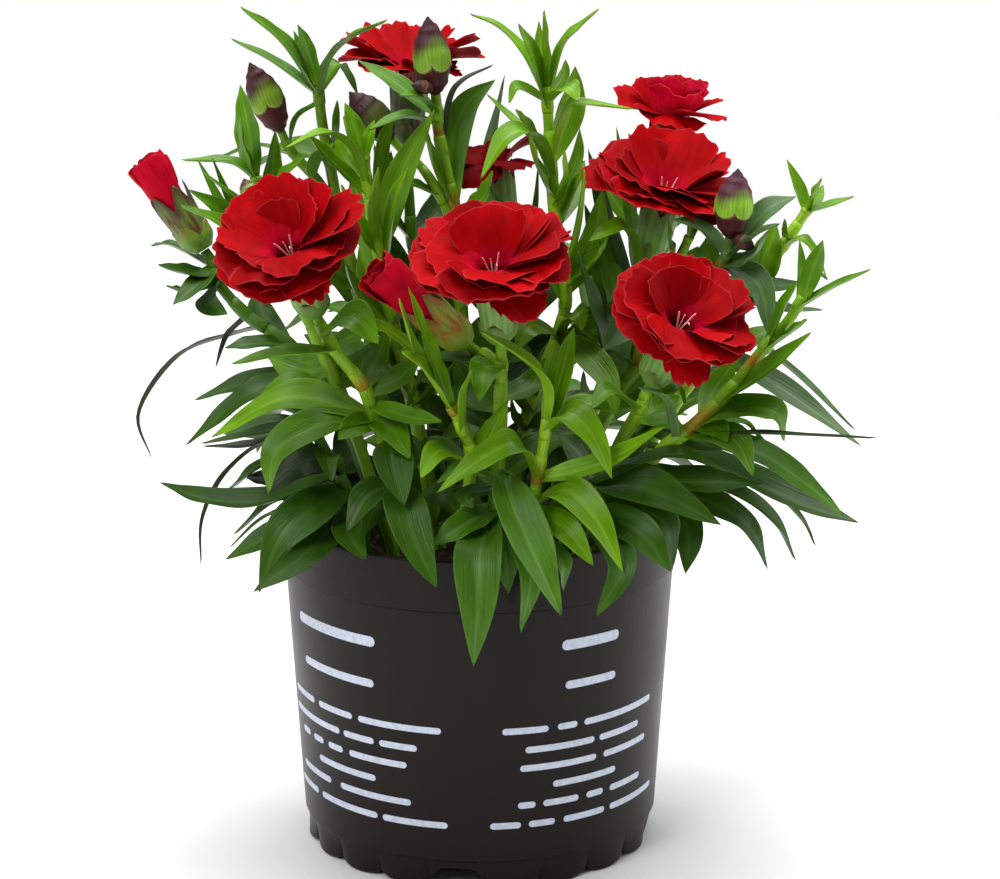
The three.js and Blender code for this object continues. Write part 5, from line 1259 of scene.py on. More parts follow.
# Each whorl: how many petals, their lean from the axis in degrees, reach and half width as shares of
# the flower's spread, how far the margin rolls back in degrees, and how far each petal wraps round.
# Petals of a whorl with a dip lean so many degrees further at the front, and less at the back.
OUTER_WHORLS = [
    {"count": 5, "lean": 90, "reach": 1.0, "half_width": 0.66, "roll": 20, "wrap": 0.3},
    {"count": 5, "lean": 78, "reach": 0.94, "half_width": 0.6, "roll": 12, "wrap": 0.35},
]
INNER_WHORLS = [
    {"count": 4, "lean": 58, "reach": 0.72, "half_width": 0.5, "roll": 14, "wrap": 0.4, "dip": 20},
]
# Flowers that open less, or whose petals are fewer and more deeply toothed. All the outer petals of
# the top left flower are single ones.
OUTER_BY_FLOWER = {
    "top_left": [],
    "top_right": [
        {"count": 5, "lean": 78, "reach": 1.05, "half_width": 0.66, "roll": 14, "wrap": 0.3, "dip": 8},
    ],
    "back_centre": [
        {
            "count": 5, "lean": 80, "reach": 1.36, "half_width": 0.72, "roll": 46, "wrap": 0.25,
            "tooth": 0.09, "teeth": 7, "dip": 26,
        },
    ],
}
INNER_BY_FLOWER = {
    "top_left": [
        {
            "count": 4, "lean": 66, "reach": 0.66, "half_width": 0.3, "roll": 4, "wrap": 0.3,
            "tooth": 0.1, "teeth": 7, "dip": 20,
        },
    ],
    "top_right": [
        {"count": 3, "lean": 36, "reach": 0.62, "half_width": 0.56, "roll": 4, "wrap": 0.5},
    ],
}
# Single petals that stand out: the angle round the axis from the front, positive to the left, and then
# lean, reach, half width and roll.
OUTER_SINGLES = {
    "front_left": [(-8, 110, 1.02, 0.3, 26), (-84, 78, 1.12, 0.5, 10)],
    "front_centre": [(-18, 110, 0.98, 0.32, 26)],
    "front_right": [(-10, 110, 1.02, 0.32, 26)],
    "upper_right": [(72, 98, 1.08, 0.46, 10), (-86, 84, 1.04, 0.5, 8)],
    "top_left": [
        (-84, 80, 0.98, 0.52, 4), (-116, 64, 1.0, 0.5, 2), (-150, 50, 0.92, 0.4, 2), (176, 44, 0.9, 0.42, 2),
        (142, 52, 0.94, 0.4, 2), (108, 70, 0.98, 0.4, 2), (80, 90, 0.9, 0.42, 6), (24, 98, 0.74, 0.42, 10),
        (-34, 98, 0.74, 0.42, 10),
    ],
}
INNER_SINGLES = {
    "front_left": [(166, 50, 1.0, 0.6, 6), (-140, 58, 0.95, 0.56, 8), (118, 52, 0.95, 0.5, 14)],
    "front_centre": [(150, 68, 0.95, 0.56, 8), (-156, 66, 0.9, 0.56, 8)],
    "front_right": [(-165, 58, 0.95, 0.56, 8), (150, 62, 0.92, 0.52, 8)],
    "upper_right": [(172, 44, 0.96, 0.56, 10), (-130, 52, 0.9, 0.5, 10)],
    "top_right": [(-24, 18, 0.92, 0.62, 2), (-150, 36, 0.9, 0.56, 6), (150, 40, 0.86, 0.5, 6)],
}
# What the petals of whorls have in common, and what single ones do: the depth of their ruffles as a
# share of the spread, how deep they are dished, tilted and frilled, and the depth of their teeth.
# Each further whorl is dished by cup_step more. "longer" makes up for a petal's bend, and "sunk" is
# how much of a single petal's reach lies within the calyx.
WHORL_PETAL = {
    "ruffle": 0.045, "cup": 2.4, "cup_step": 1.4, "tilt": 1.8, "frill": 0.45, "tooth": 0.05, "teeth": 11,
    "longer": 1.03,
}
SINGLE_PETAL = {"ruffle": 0.035, "cup": 3, "tilt": 1, "frill": 0.4, "tooth": 0.08, "wrap": 0.3, "sunk": 2}
WHORL_RANGES = {
    "turn": (-7, 7), "lean": (-9, 9), "reach": (0.93, 1.05), "half_width": (0.9, 1.1), "roll": (0.4, 1.6),
}
# The tint of the petals' backs, how dark the petals are at least and at most, and how many teeth a
# single petal has. Single petals keep to the lighter part of that range, SINGLE_SHADE of it.
SINGLE_SHADE = 0.55
PETAL_LOOK = {"under": "back", "shade": (0, 0.55), "teeth": 7}
PETAL_LOOKS = {
    "top_left": {"under": "back", "shade": (0, 0.4), "teeth": 5},
    # Painted light: the top right flower's petals keep light and their backs take the brighter pink, though
    # they lie in shade.
    "top_right": {"under": "pink", "shade": (0, 0.1), "teeth": 7},
    # Painted shade: the back centre flower sits deep among the others, so its petals are darkened almost to
    # the shaded red.
    "back_centre": {"under": "back", "shade": (0.8, 1), "teeth": 7},
}


def whorl_petals(mesh, axis, spread, whorls, look, rng):
    """Petals spread evenly round the axis, each a little different from its neighbours."""
    common = {"mouth": MOUTH["flower"], "waist": CLAW["half_width"], "back": look["under"]}
    for level, whorl in enumerate(whorls):
        offset = rng.uniform(0, 360)
        for i in range(whorl["count"]):
            angle = math.radians(offset + 360 * i / whorl["count"] + rng.uniform(*WHORL_RANGES["turn"]))
            lean = whorl["lean"] + whorl.get("dip", 0) * math.cos(angle)
            lean += rng.uniform(*WHORL_RANGES["lean"])
            reach = spread * whorl["reach"] * rng.uniform(*WHORL_RANGES["reach"]) - MOUTH["flower"]
            shape = {
                **WHORL_PETAL, **whorl, **common,
                "lean": lean,
                "length": reach / math.sin(math.radians(whorl["lean"])) * WHORL_PETAL["longer"],
                "half_width": spread * whorl["half_width"] * rng.uniform(*WHORL_RANGES["half_width"]),
                "roll": whorl["roll"] * rng.uniform(*WHORL_RANGES["roll"]),
                "ruffle": spread * WHORL_PETAL["ruffle"],
                "cup": WHORL_PETAL["cup_step"] * level + WHORL_PETAL["cup"],
                "shade": rng.uniform(*look["shade"]),
            }
            Petal(shape, rng).add(mesh, axis, angle)


def single_petals(mesh, axis, spread, singles, look, rng):
    """Petals placed one by one."""
    least, most = look["shade"]
    for angle, lean, reach, half, roll in singles:
        shape = {
            **SINGLE_PETAL,
            "mouth": MOUTH["flower"],
            "waist": CLAW["half_width"],
            "back": look["under"],
            "teeth": look["teeth"],
            "lean": lean,
            "length": spread * reach - SINGLE_PETAL["sunk"],
            "half_width": spread * half,
            "roll": roll,
            "ruffle": spread * SINGLE_PETAL["ruffle"],
            "shade": rng.uniform(least, mix(least, most, SINGLE_SHADE)),
        }
        Petal(shape, rng).add(mesh, axis, math.radians(angle))


# A calyx's length, the depth of its teeth, its radii from the base up, and how far down its wall is
# doubled inside the mouth. That of an opening bud is cut deeper.
CALYX = {
    "length": 22, "tooth": 4.2, "base": 3, "shoulder": 5, "shoulder_height": 3, "mouth": 6.2, "wall": 0.5,
    "inside": 9,
}
BUD_CALYX = {"length": 21.5, "tooth": 7.5}
CALYX_DETAIL = {
    "teeth": 5, "tooth_power": 1.3, "ribs": 15, "rib_depth": 0.07, "rib_start": 4, "columns": 90,
}
CALYX_OUTSIDE = (0, 0.04, 0.1, 0.18, 0.3, 0.45, 0.6, 0.75, 0.87, 0.95, 1)
CALYX_INSIDE = (1, 0.5, 0)
# Where up a calyx its foot's colour ends and its mouth's begins, and the size and spread of blotches.
CALYX_TINTS = {
    "foot_fade": 3.5, "mouth_from": (0.7, 0.3), "mouth": 0.8, "blotches": 3, "blotch_height": 5,
    "blotch_gain": 2.2, "grain_seed": 3,
}
BRACTS = {
    "count": 4, "length": 7.5, "length_range": (0.85, 1.15), "uneven": 0.3, "width": 7.5, "stations": 11,
    "wide_from": 0.25, "taper": 0.7, "finest": 0.1, "bow": 0.55, "keel": 0.3, "inner_width": 0.96,
    "thickness": 0.35,
}
# The line of a bract: which radius of the calyx it follows, how many times the stand-off it is out from
# there, and its height as a share of the bract's length.
BRACT_STAND_OFF = 0.55
BRACT_LINE = (("base", 0, 0), ("shoulder", 0.5, 0.45), ("shoulder", 1, 0.8), ("shoulder", 1.6, 1.1))
BRACT_ROOT = 0.2  # how far up the calyx a bract starts


def calyx_radius(height, length):
    stops = [(0, CALYX["base"]), (CALYX["shoulder_height"], CALYX["shoulder"]), (length, CALYX["mouth"])]
    return track(stops, height)


def calyx_tint(share, height, angle, colours):
    """Pale ribs on a green tube, with blotches, a fresh foot and a mouth of another colour."""
    streak = 0.5 + 0.5 * math.cos(CALYX_DETAIL["ribs"] * angle)
    tint = mixed(colours["groove"], colours["rib"], streak)
    tint = mixed(colours["foot"], tint, smooth(share * CALYX_TINTS["foot_fade"]))
    size = CALYX_TINTS["blotches"]
    spot = Vector((size * math.cos(angle), size * math.sin(angle), height / CALYX_TINTS["blotch_height"]))
    tint = mixed(tint, colours["blotch"], smooth(noise.noise(spot) * CALYX_TINTS["blotch_gain"]))
    return mixed(tint, colours["mouth"], ramp(share, *CALYX_TINTS["mouth_from"]) * CALYX_TINTS["mouth"])


def calyx_ring(mesh, axis, length, tooth, colours, share, inside):
    """One ring of the toothed tube, on its outside or its inside."""
    ring, tints, grains = [], [], []
    for angle in circle(CALYX_DETAIL["columns"]):
        gap = abs((CALYX_DETAIL["teeth"] * angle / math.pi) % 2 - 1)
        top = length - tooth * gap ** CALYX_DETAIL["tooth_power"]
        height = top - (1 - share) * CALYX["inside"] if inside else share * top
        radius = calyx_radius(height, length)
        if inside:
            radius -= CALYX["wall"] / 2 if share == 1 else CALYX["wall"]
        else:
            rib = math.cos(CALYX_DETAIL["ribs"] * angle) * CALYX_DETAIL["rib_depth"]
            radius += rib * smooth(share * CALYX_DETAIL["rib_start"])
        ring.append(axis.point(radius, height, angle))
        tints.append(calyx_tint(share, height, angle, colours))
        grains.append((radius * angle, height, CALYX_TINTS["grain_seed"]))
    return mesh.add(ring, tints, grains)


def add_calyx(mesh, axis, length, tooth, colours, rng):
    """A ribbed tube whose mouth has five teeth, with bracts that clasp its base."""
    rings = [calyx_ring(mesh, axis, length, tooth, colours, share, False) for share in CALYX_OUTSIDE]
    rings += [calyx_ring(mesh, axis, length, tooth, colours, share, True) for share in CALYX_INSIDE]
    mesh.skin(rings)
    for i in range(BRACTS["count"]):
        angle = 2 * math.pi * (i + BRACTS["uneven"] * rng.random()) / BRACTS["count"]
        height = BRACTS["length"] * rng.uniform(*BRACTS["length_range"])
        points = []
        for ring, off, share in BRACT_LINE:
            radius = CALYX[ring] + BRACT_STAND_OFF * off
            points.append(axis.point(radius, max(height * share, BRACT_ROOT), angle))
        add_bract(mesh, axis, Path(points), colours)


def add_bract(mesh, axis, path, colours):
    """A small pointed scale that lies on the calyx."""
    last = BRACTS["stations"] - 1
    rings = []
    for i in range(BRACTS["stations"]):
        place = i / last
        grown = min(place * (1 - BRACTS["wide_from"]) + BRACTS["wide_from"], 1)
        half = BRACTS["width"] / 2 * math.sin(math.pi * grown) ** BRACTS["taper"]
        centre = path.at(place)
        tint = mixed(colours["bract"], colours["bract_tip"], place ** 2)
        if half < BRACTS["finest"]:
            rings.append(mesh.add([centre], tint))
            break
        heading = path.heading(place)
        outward = (centre - axis.base) - axis.direction * (centre - axis.base).dot(axis.direction)
        outward.normalize()
        side = frame_along(heading, heading.cross(outward))[0]
        upper, lower = [], []
        for across in LEAF_COLUMNS:
            bow = -outward * (across * across * half * BRACTS["bow"])
            keel = outward * BRACTS["keel"] * (1 - abs(across))
            inner = centre + side * across * half * BRACTS["inner_width"]
            upper.append(centre + side * across * half + bow + keel)
            lower.append(inner + bow - outward * BRACTS["thickness"])
        rings.append(mesh.add(upper + lower[::-1], tint))
    mesh.skin(rings)


OVARY = {"sides": 12, "outline": ((0.2, 4), (1.1, 4.6), (1.4, 6.5), (1.3, 10), (0.8, 12), (0.3, 13))}
# The two styles and the two finer stamens beside them: lean, height of the end, side and thickness.
STYLES = [
    (0.9, 30.5, -0.8, 0.34),
    (1.2, 30, 0.7, 0.34),
    (0.6, 28.5, 0.2, 0.22),
    (1.5, 28, -0.3, 0.22),
]
# A style's line: radius, which the lean multiplies on its upper half, height, and share of its side.
# None stands for the height of its own end.
STYLE_FOOT = ((0.3, 11, 1), (0.6, 20, 1))
STYLE_TOP = ((2.6, 27, 0.9), (4, None, 0.8))
STYLE_DETAIL = {"steps": 18, "sides": 8, "taper": 0.6, "end": 0.5, "fade": 2}


def add_pistil(mesh, axis):
    """The ovary, deep in the calyx, with two slender styles and two stamens that curl out of the throat."""
    rings = []
    for radius, height in OVARY["outline"]:
        ring = [axis.point(radius, height, a) for a in circle(OVARY["sides"])]
        rings.append(mesh.add(ring, PETAL["ovary"]))
    mesh.skin(rings)
    for lean, end, side, thick in STYLES:
        line = [axis.point(radius, height, side * turn) for radius, height, turn in STYLE_FOOT]
        for radius, height, turn in STYLE_TOP:
            line.append(axis.point(radius * lean, height or end, side * turn))
        path = Path(line)
        rings = []
        for i in range(STYLE_DETAIL["steps"] + 1):
            place = i / STYLE_DETAIL["steps"]
            radius = thick * mix(1, STYLE_DETAIL["taper"], place)
            if place == 1:
                radius *= STYLE_DETAIL["end"]
            # The styles' feet carry the painted shade of the throat.
            tint = mixed(PETAL["throat"], PETAL["style"], smooth(place * STYLE_DETAIL["fade"]))
            rings.append(mesh.add(path.ring(place, radius, circle(STYLE_DETAIL["sides"])), tint))
        mesh.skin(rings)


# ---------------------------------------------------------------- buds

# A closed bud's outline, as shares of its length and of its greatest radius.
BUD_OUTLINE = [
    (0, 0.3), (0.03, 0.46), (0.14, 0.76), (0.36, 0.98), (0.5, 1), (0.66, 0.88), (0.82, 0.58), (0.92, 0.28),
    (0.97, 0.12), (1, 0.02),
]
# The band of calyx teeth stands proud of the bud's base along its lower, scalloped edge.
BUD = {
    "columns": 60, "rows": 48, "lobes": 5, "scallop": 0.1, "scallop_power": 0.6, "step": 0.03,
    "proud": 0.05, "proud_fade": 0.4, "groove": 0.03,
}
# Where the colours of a closed bud change, as shares of its length: the lower edge of the band of
# calyx teeth, and the start of the petals at the tip.
BUD_BANDS = {
    "left": (0.32, 0.56),
    "top": (0.29, 0.58),
    "centre": (0.3, 0.54),
    "right": (0.3, 0.56),
    "small": (0.1, 0.7),
    "withered": (0.3, 0.5),
}
# The number of streaks, how they wind, and how dark they make the base and the band; the band's pale
# rim, as its distance above the edge and its width; and how the tip's colour comes in.
BUD_TINTS = {
    "streaks": 25, "winding": 2, "winds": 9, "base": 0.6, "band": 0.35, "rim_up": 0.015, "rim_width": 0.018,
    "fade": 0.26, "fade_sway": 0.08, "fade_streak": 0.05, "dark_tip": (0.85, 0.15), "grain_seed": 4,
}
# The petals of an opening bud: how they change from the outermost to the innermost, and their form.
ROLLED = {
    "petals": 6, "turn": 2.4, "lean": (11, 5), "lean_range": (-2, 2), "length": (0.94, 1.06), "hidden": 2,
    "half_width": 8.5, "narrower": 0.6, "roll": (-26, -10),
}
ROLLED_PETAL = {
    "waist": 6.5, "wrap": 0.95, "ruffle": 0.5, "cup": -0.8, "tilt": 0.5, "frill": 0.2, "tooth": 0.04,
    "teeth": 9, "back": "bud", "shade": 0,
}


def bud_tint(share, angle, edge, on_band, colours, tip_start):
    """Streaks run up the whole bud; on_band is 0 on its base and 1 from the edge of the band on."""
    streak = BUD_TINTS["streaks"] * angle + BUD_TINTS["winding"] * math.sin(BUD_TINTS["winds"] * share)
    streak = 0.5 + 0.5 * math.cos(streak)
    base = mixed(colours["base"], colours["base_dark"], streak * BUD_TINTS["base"])
    band = mixed(colours["band"], colours["band_streak"], streak * BUD_TINTS["band"])
    band = mixed(band, colours["rim"], bell((share - edge - BUD_TINTS["rim_up"]) / BUD_TINTS["rim_width"]))
    start = tip_start + BUD_TINTS["fade_sway"] * math.cos(2 * angle + 1) + BUD_TINTS["fade_streak"] * streak
    tip = mixed(colours["tip"], colours["tip_dark"], ramp(share, *BUD_TINTS["dark_tip"]))
    band = mixed(band, tip, ramp(share, start - BUD_TINTS["fade"] / 2, BUD_TINTS["fade"]))
    return mixed(base, band, on_band)


def add_closed_bud(mesh, axis, radius, name):
    """An egg-shaped bud: a dark base under a band of rounded teeth, which darkens to a pointed tip."""
    band_start, tip_start = BUD_BANDS[name]
    rings = []
    for row in range(BUD["rows"] + 1):
        share = row / BUD["rows"]
        ring, tints, grains = [], [], []
        for angle in circle(BUD["columns"]):
            tooth = abs(math.sin(BUD["lobes"] * angle / 2))
            edge = band_start + BUD["scallop"] * (1 - tooth ** BUD["scallop_power"])
            on_band = ramp(share, edge, BUD["step"])
            bulge = 1 + BUD["proud"] * on_band * (1 - ramp(share, edge, BUD["proud_fade"]))
            bulge -= BUD["groove"] * on_band * (1 - tooth)
            ring.append(axis.point(radius * track(BUD_OUTLINE, share) * bulge, share * axis.length, angle))
            tints.append(bud_tint(share, angle, edge, on_band, BUD_COLOURS[name], tip_start))
            grains.append((radius * angle, share * axis.length, BUD_TINTS["grain_seed"]))
        rings.append(mesh.add(ring, tints, grains))
    mesh.skin(rings)


def add_rolled_petals(mesh, axis, rng):
    """The petals of an opening bud, wound round each other in a cone."""
    for i in range(ROLLED["petals"]):
        inner = i / ROLLED["petals"]
        shape = {
            **ROLLED_PETAL,
            "mouth": mix(MOUTH["bud"], MOUTH["bud_centre"], inner),
            "lean": mix(*ROLLED["lean"], inner) + rng.uniform(*ROLLED["lean_range"]),
            "length": (axis.length - CLAW["end_height"] + ROLLED["hidden"]) * mix(*ROLLED["length"], inner),
            "half_width": ROLLED["half_width"] * mix(1, ROLLED["narrower"], inner),
            "roll": mix(*ROLLED["roll"], inner),
        }
        Petal(shape, rng).add(mesh, axis, ROLLED["turn"] * i)


# ---------------------------------------------------------------- pot and soil

# The pot's radii and heights, as in the CAD; "columns" is how many outlines stand round it.
POT = {
    "rim": 61, "height": 103.6, "wall": 1.2, "band": 60.3, "band_bottom": 88, "band_step": 0.7,
    "foot": 53.6, "foot_height": 8.6, "foot_wall": 2, "wall_foot": 54.7, "step": 0.6,
    "floor_under": 6.8, "floor_thick": 1.2, "columns": 720, "sharp_from": 32,
}
# The rows of points up the foot and up the band, as shares of their heights, and up the wall.
FOOT_ROWS = (0.06, 0.2, 0.4, 0.6, 0.8, 0.94)
WALL_ROWS = (11, 25, 40, 55, 70, 82)
BAND_ROWS = (0.04, 0.5, 0.92)
# The rounded rim, as distances in from its outer edge and down from its top.
RIM_ROUND = {"low": 0.35, "corner": 0.15, "near_top": 0.05, "flat": 0.6}
# Inside, the wall bends at one height and turns in above the floor to the foot.
POT_INSIDE = {"bend": 45, "over_floor": 2.5, "foot_top": 1.0, "under_floor": 0.2, "edge": 0.1}
# The foot's lower edge turns in, and its top stands out a little.
FOOT_EDGE = {"inset": 0.5, "outset": 0.1}
LOBES = {
    "count": 20, "start": 2, "groove": 1.5, "groove_power": 0.45, "round": 2.3, "round_power": 0.5,
    "bulge": 0.27,
}
ARCH = {"count": 4, "width": 16, "height": 6.4, "angle": -7, "flatness": 4}
DRAIN = {"count": 6, "radius": 4, "ring": 34, "sides": 40}
# The floor laps into the wall; without_holes keeps only the triangles within the outline and off the holes.
FLOOR = {"lap": 0.6, "sides": 180, "without_holes": 3, "nearest": 1e-5}
SOIL = {
    "top": 93, "crown": 1.5, "sunk": 0.6, "rings": 90, "ring_power": 0.9, "columns": 220, "gap": 0.35,
    "foot_in": 2.6, "foot_out": 1.7, "foot_rise": 2.2, "edge_height": 90,
}
# Lumps of three sizes: how high and how wide they are, and the level that their noise is read at.
SOIL_LUMPS = {"clods": (1.3, 9, 3), "crumbs": (0.9, 3.5, 9), "grit": (0.45, 1.3, 5)}
SOIL_FLECKS = {"size": 2.2, "gain": 2}


def lobe_share(degrees):
    """0 in the groove between two lobes of the foot and 1 in the middle of a lobe."""
    pitch = 360 / LOBES["count"]
    from_groove = (degrees - LOBES["start"]) % pitch
    return math.sin(math.pi * from_groove / pitch)


def foot_bottom(degrees):
    """Height of the foot's lower edge: convex lobes on the ground, broken by flat-topped arches."""
    lift = LOBES["round"] * (1 - lobe_share(degrees) ** LOBES["round_power"])
    pitch = 360 / ARCH["count"]
    off = abs((degrees - ARCH["angle"] + pitch / 2) % pitch - pitch / 2)
    across = math.radians(off) * POT["foot"] / (ARCH["width"] / 2)
    if across >= 1:
        return lift
    return max(lift, ARCH["height"] * (1 - across ** ARCH["flatness"]) ** 0.5)


def foot_radius(degrees, height):
    """The lobes swell out a little over the grooves, most at the ground."""
    fade = 1 - smooth(height / POT["foot_height"])
    groove = LOBES["groove"] * (1 - lobe_share(degrees) ** LOBES["groove_power"])
    return POT["foot"] + (LOBES["bulge"] * lobe_share(degrees) - groove) * fade


def wall_radius(height):
    share = (height - POT["foot_height"] - POT["step"]) / (POT["band_bottom"] - POT["foot_height"])
    return mix(POT["wall_foot"], POT["band"] - POT["band_step"], share)


def outer_section(degrees, low):
    """Up the outside, from the foot's lower edge to the rim."""
    foot_top, band_low = POT["foot_height"], POT["band_bottom"]
    section = [(foot_radius(degrees, low) - FOOT_EDGE["inset"], low)]
    for share in FOOT_ROWS:
        height = mix(low, foot_top, share)
        section.append((foot_radius(degrees, height), height))
    section.append((POT["foot"] + FOOT_EDGE["outset"], foot_top))
    for height in (foot_top + POT["step"], *WALL_ROWS, band_low - POT["step"]):
        section.append((wall_radius(height), height))
    section.append((POT["band"], band_low))
    for share in BAND_ROWS:
        section.append((mix(POT["band"], POT["rim"], share), mix(band_low, POT["height"], share)))
    return section


def inner_section(low):
    """Down the inside, from the rim to the foot's lower edge."""
    inner_foot, floor = POT["foot"] - POT["foot_wall"], POT["floor_under"]
    return [
        (POT["band"] - POT["band_step"] - POT["wall"], POT["band_bottom"] - POT["wall"]),
        (wall_radius(POT_INSIDE["bend"]) - POT["wall"], POT_INSIDE["bend"]),
        (POT["wall_foot"] - POT["wall"], floor + POT_INSIDE["over_floor"]),
        (inner_foot, floor + POT_INSIDE["foot_top"]),
        (inner_foot, max(floor, low + POT_INSIDE["under_floor"])),
        (inner_foot, low + POT_INSIDE["edge"]),
    ]


def pot_section(degrees):
    """The closed outline of wall and foot at one angle, as radius and height."""
    low = foot_bottom(degrees)
    outside, inside, top = POT["rim"], POT["rim"] - POT["wall"], POT["height"]
    rim = [
        (outside, top - RIM_ROUND["low"]),
        (outside - RIM_ROUND["corner"], top - RIM_ROUND["near_top"]),
        (outside - RIM_ROUND["flat"], top),
        (inside + RIM_ROUND["corner"], top - RIM_ROUND["near_top"]),
        (inside, top - RIM_ROUND["low"]),
    ]
    return outer_section(degrees, low) + rim + inner_section(low)


def from_front(degrees):
    """The direction outwards at an angle from the front of the pot."""
    turn = math.radians(degrees)
    return Vector((math.sin(turn), -math.cos(turn), 0))


def add_pot_floor(mesh):
    """The raised floor with its drain holes: a flat plate, triangulated and given its thickness."""
    reach = POT["foot"] - POT["foot_wall"] + FLOOR["lap"]
    loops = [[(reach * math.cos(a), reach * math.sin(a)) for a in circle(FLOOR["sides"])]]
    radius = DRAIN["radius"]
    for i in range(DRAIN["count"]):
        turn = (i + 0.5) / DRAIN["count"] * 2 * math.pi
        x, y = DRAIN["ring"] * math.cos(turn), DRAIN["ring"] * math.sin(turn)
        loops.append([(x + radius * math.cos(a), y + radius * math.sin(a)) for a in circle(DRAIN["sides"])])
    flat, edges = [], []
    for loop in loops:
        first = len(flat)
        flat += [Vector(point) for point in loop]
        edges += [(first + i, first + (i + 1) % len(loop)) for i in range(len(loop))]
    sheet = geometry.delaunay_2d_cdt(flat, edges, [], FLOOR["without_holes"], FLOOR["nearest"])
    points, faces = sheet[0], sheet[2]
    top_height = POT["floor_under"] + POT["floor_thick"]
    top = mesh.add([Vector((*point, top_height)) for point in points], POT_TINT)
    under = mesh.add([Vector((*point, POT["floor_under"])) for point in points], POT_TINT)
    for face in faces:
        mesh.faces.append(tuple(top[i] for i in face))
        mesh.faces.append(tuple(under[i] for i in reversed(face)))
    uses = {}
    for face in faces:
        for a, b in zip(face, face[1:] + face[:1]):
            uses.setdefault(frozenset((a, b)), []).append((a, b))
    for sides in uses.values():
        if len(sides) == 1:
            a, b = sides[0]
            mesh.faces.append((top[a], under[a], under[b], top[b]))


# The wall carries two printed blocks. Here each word is a plain rounded bar: rows of
# (height on the wall, bar height, angles in degrees from the front where each word starts and ends).
PRINT_ROWS = [
    (76, 3.2, (-66, -31)),
    (62.8, 2.5, (-64, -32)),
    (50.6, 2, (-76, -60), (-57, -41), (-38.5, -11)),
    (44.4, 2, (-77, -47), (-45, -33), (-31, -18.5)),
    (38.6, 2, (-71, -65), (-62, -56), (-53, -46), (-43, -22)),
    (32.6, 2, (-59, -33)),
    (26.8, 2, (-73, -53), (-48, -21)),
    (20.6, 2, (-78, -62), (-59, -33), (-31, -9.5)),
    (76, 3.2, (24.5, 44.5)),
    (63.4, 2.5, (26, 44)),
    (50.6, 2, (7, 21), (24, 30.5), (33, 64)),
    (44.4, 2, (14, 37), (39, 57)),
    (38.6, 2, (12.5, 38), (41, 62)),
    (32.6, 2, (23, 46.5)),
    (26.8, 2, (12, 17.5), (20, 32), (35, 41.5), (44.5, 60)),
    (20.6, 2, (3.5, 13), (15.5, 24), (27, 42.5), (45, 70)),
]
# A bar stands proud of the wall and reaches as far into it; its ends are round.
INK = {"proud": 0.08, "corner_steps": 6, "width_step": 2.5, "least_steps": 2, "least_rise": 0.02}


def add_word(mesh, start, end, height, size):
    """One bar of ink with round ends that follows the wall."""
    half = size / 2
    turn = math.degrees(half / wall_radius(height))
    count = max(INK["least_steps"], round((end - start) / INK["width_step"]))
    corner = []
    for i in range(INK["corner_steps"]):
        swing = math.pi / 2 * i / INK["corner_steps"]
        corner.append((start + turn * (1 - math.cos(swing)), half * math.sin(swing)))
    steps = corner + [(mix(start + turn, end - turn, i / count), half) for i in range(count + 1)]
    steps += [(start + end - degrees, rise) for degrees, rise in reversed(corner)]
    proud = INK["proud"]
    rings = []
    for degrees, rise in steps:
        ring = []
        for side, off in ((1, proud), (-1, proud), (-1, -proud), (1, -proud)):
            level = height + side * max(rise, INK["least_rise"])
            ring.append(from_front(degrees) * (wall_radius(level) + off) + UP * level)
        rings.append(mesh.add(ring, PRINT_TINT))
    mesh.skin(rings)


def make_pot(plastic, ink):
    mesh = Mesh()
    rings = []
    for i in range(POT["columns"]):
        degrees = 360 * i / POT["columns"]
        outward = from_front(degrees)
        points = [outward * radius + UP * height for radius, height in pot_section(degrees)]
        rings.append(mesh.add(points, POT_TINT))
    mesh.torus(rings)
    add_pot_floor(mesh)
    plastic_faces = len(mesh.faces)
    for height, size, *words in PRINT_ROWS:
        for start, end in words:
            add_word(mesh, start, end, height, size)
    mesh.piece("pot_body", "pot", "pot", plastic, ink, sharp=POT["sharp_from"], second_from=plastic_faces)


def lump(x, y, kind):
    rise, size, level = SOIL_LUMPS[kind]
    return rise * noise.noise(Vector((x, y, level)) / size)


def soil_height(x, y, edge):
    """Lumpy peat: coarse clods, crumbs and fine grit over a low crown."""
    height = SOIL["top"] - SOIL["crown"] * smooth(math.hypot(x, y) / edge) - SOIL["sunk"]
    height += lump(x, y, "clods") + lump(x, y, "crumbs")
    return height + lump(x, y, "grit")


def make_soil(material):
    mesh = Mesh()
    low = POT["floor_under"] + POT["floor_thick"] + SOIL["gap"]
    edge = wall_radius(SOIL["edge_height"]) - POT["wall"] - SOIL["gap"]
    angles = circle(SOIL["columns"])
    foot = (
        (POT["wall_foot"] - POT["wall"] - SOIL["foot_in"], low),
        (POT["wall_foot"] - SOIL["foot_out"], low + SOIL["foot_rise"]),
    )
    rings = [mesh.add([UP * low], SOIL_TINT)]
    for radius, height in foot:
        ring = [Vector((radius * math.cos(a), radius * math.sin(a), height)) for a in angles]
        rings.append(mesh.add(ring, SOIL_TINT))
    for i in range(SOIL["rings"]):
        radius = edge * (1 - i / SOIL["rings"]) ** SOIL["ring_power"]
        ring, tints = [], []
        for a in angles:
            x, y = radius * math.cos(a), radius * math.sin(a)
            point = Vector((x, y, soil_height(x, y, edge)))
            fleck = max(0, noise.noise(point / SOIL_FLECKS["size"])) ** 2 * SOIL_FLECKS["gain"]
            ring.append(point)
            tints.append(mixed(SOIL_TINT, SOIL_LIGHT, fleck))
        rings.append(mesh.add(ring, tints))
    rings.append(mesh.add([UP * soil_height(0, 0, edge)], SOIL_TINT))
    mesh.skin(rings)
    mesh.piece("soil_surface", "potting_soil", "soil", material)


# ---------------------------------------------------------------- materials

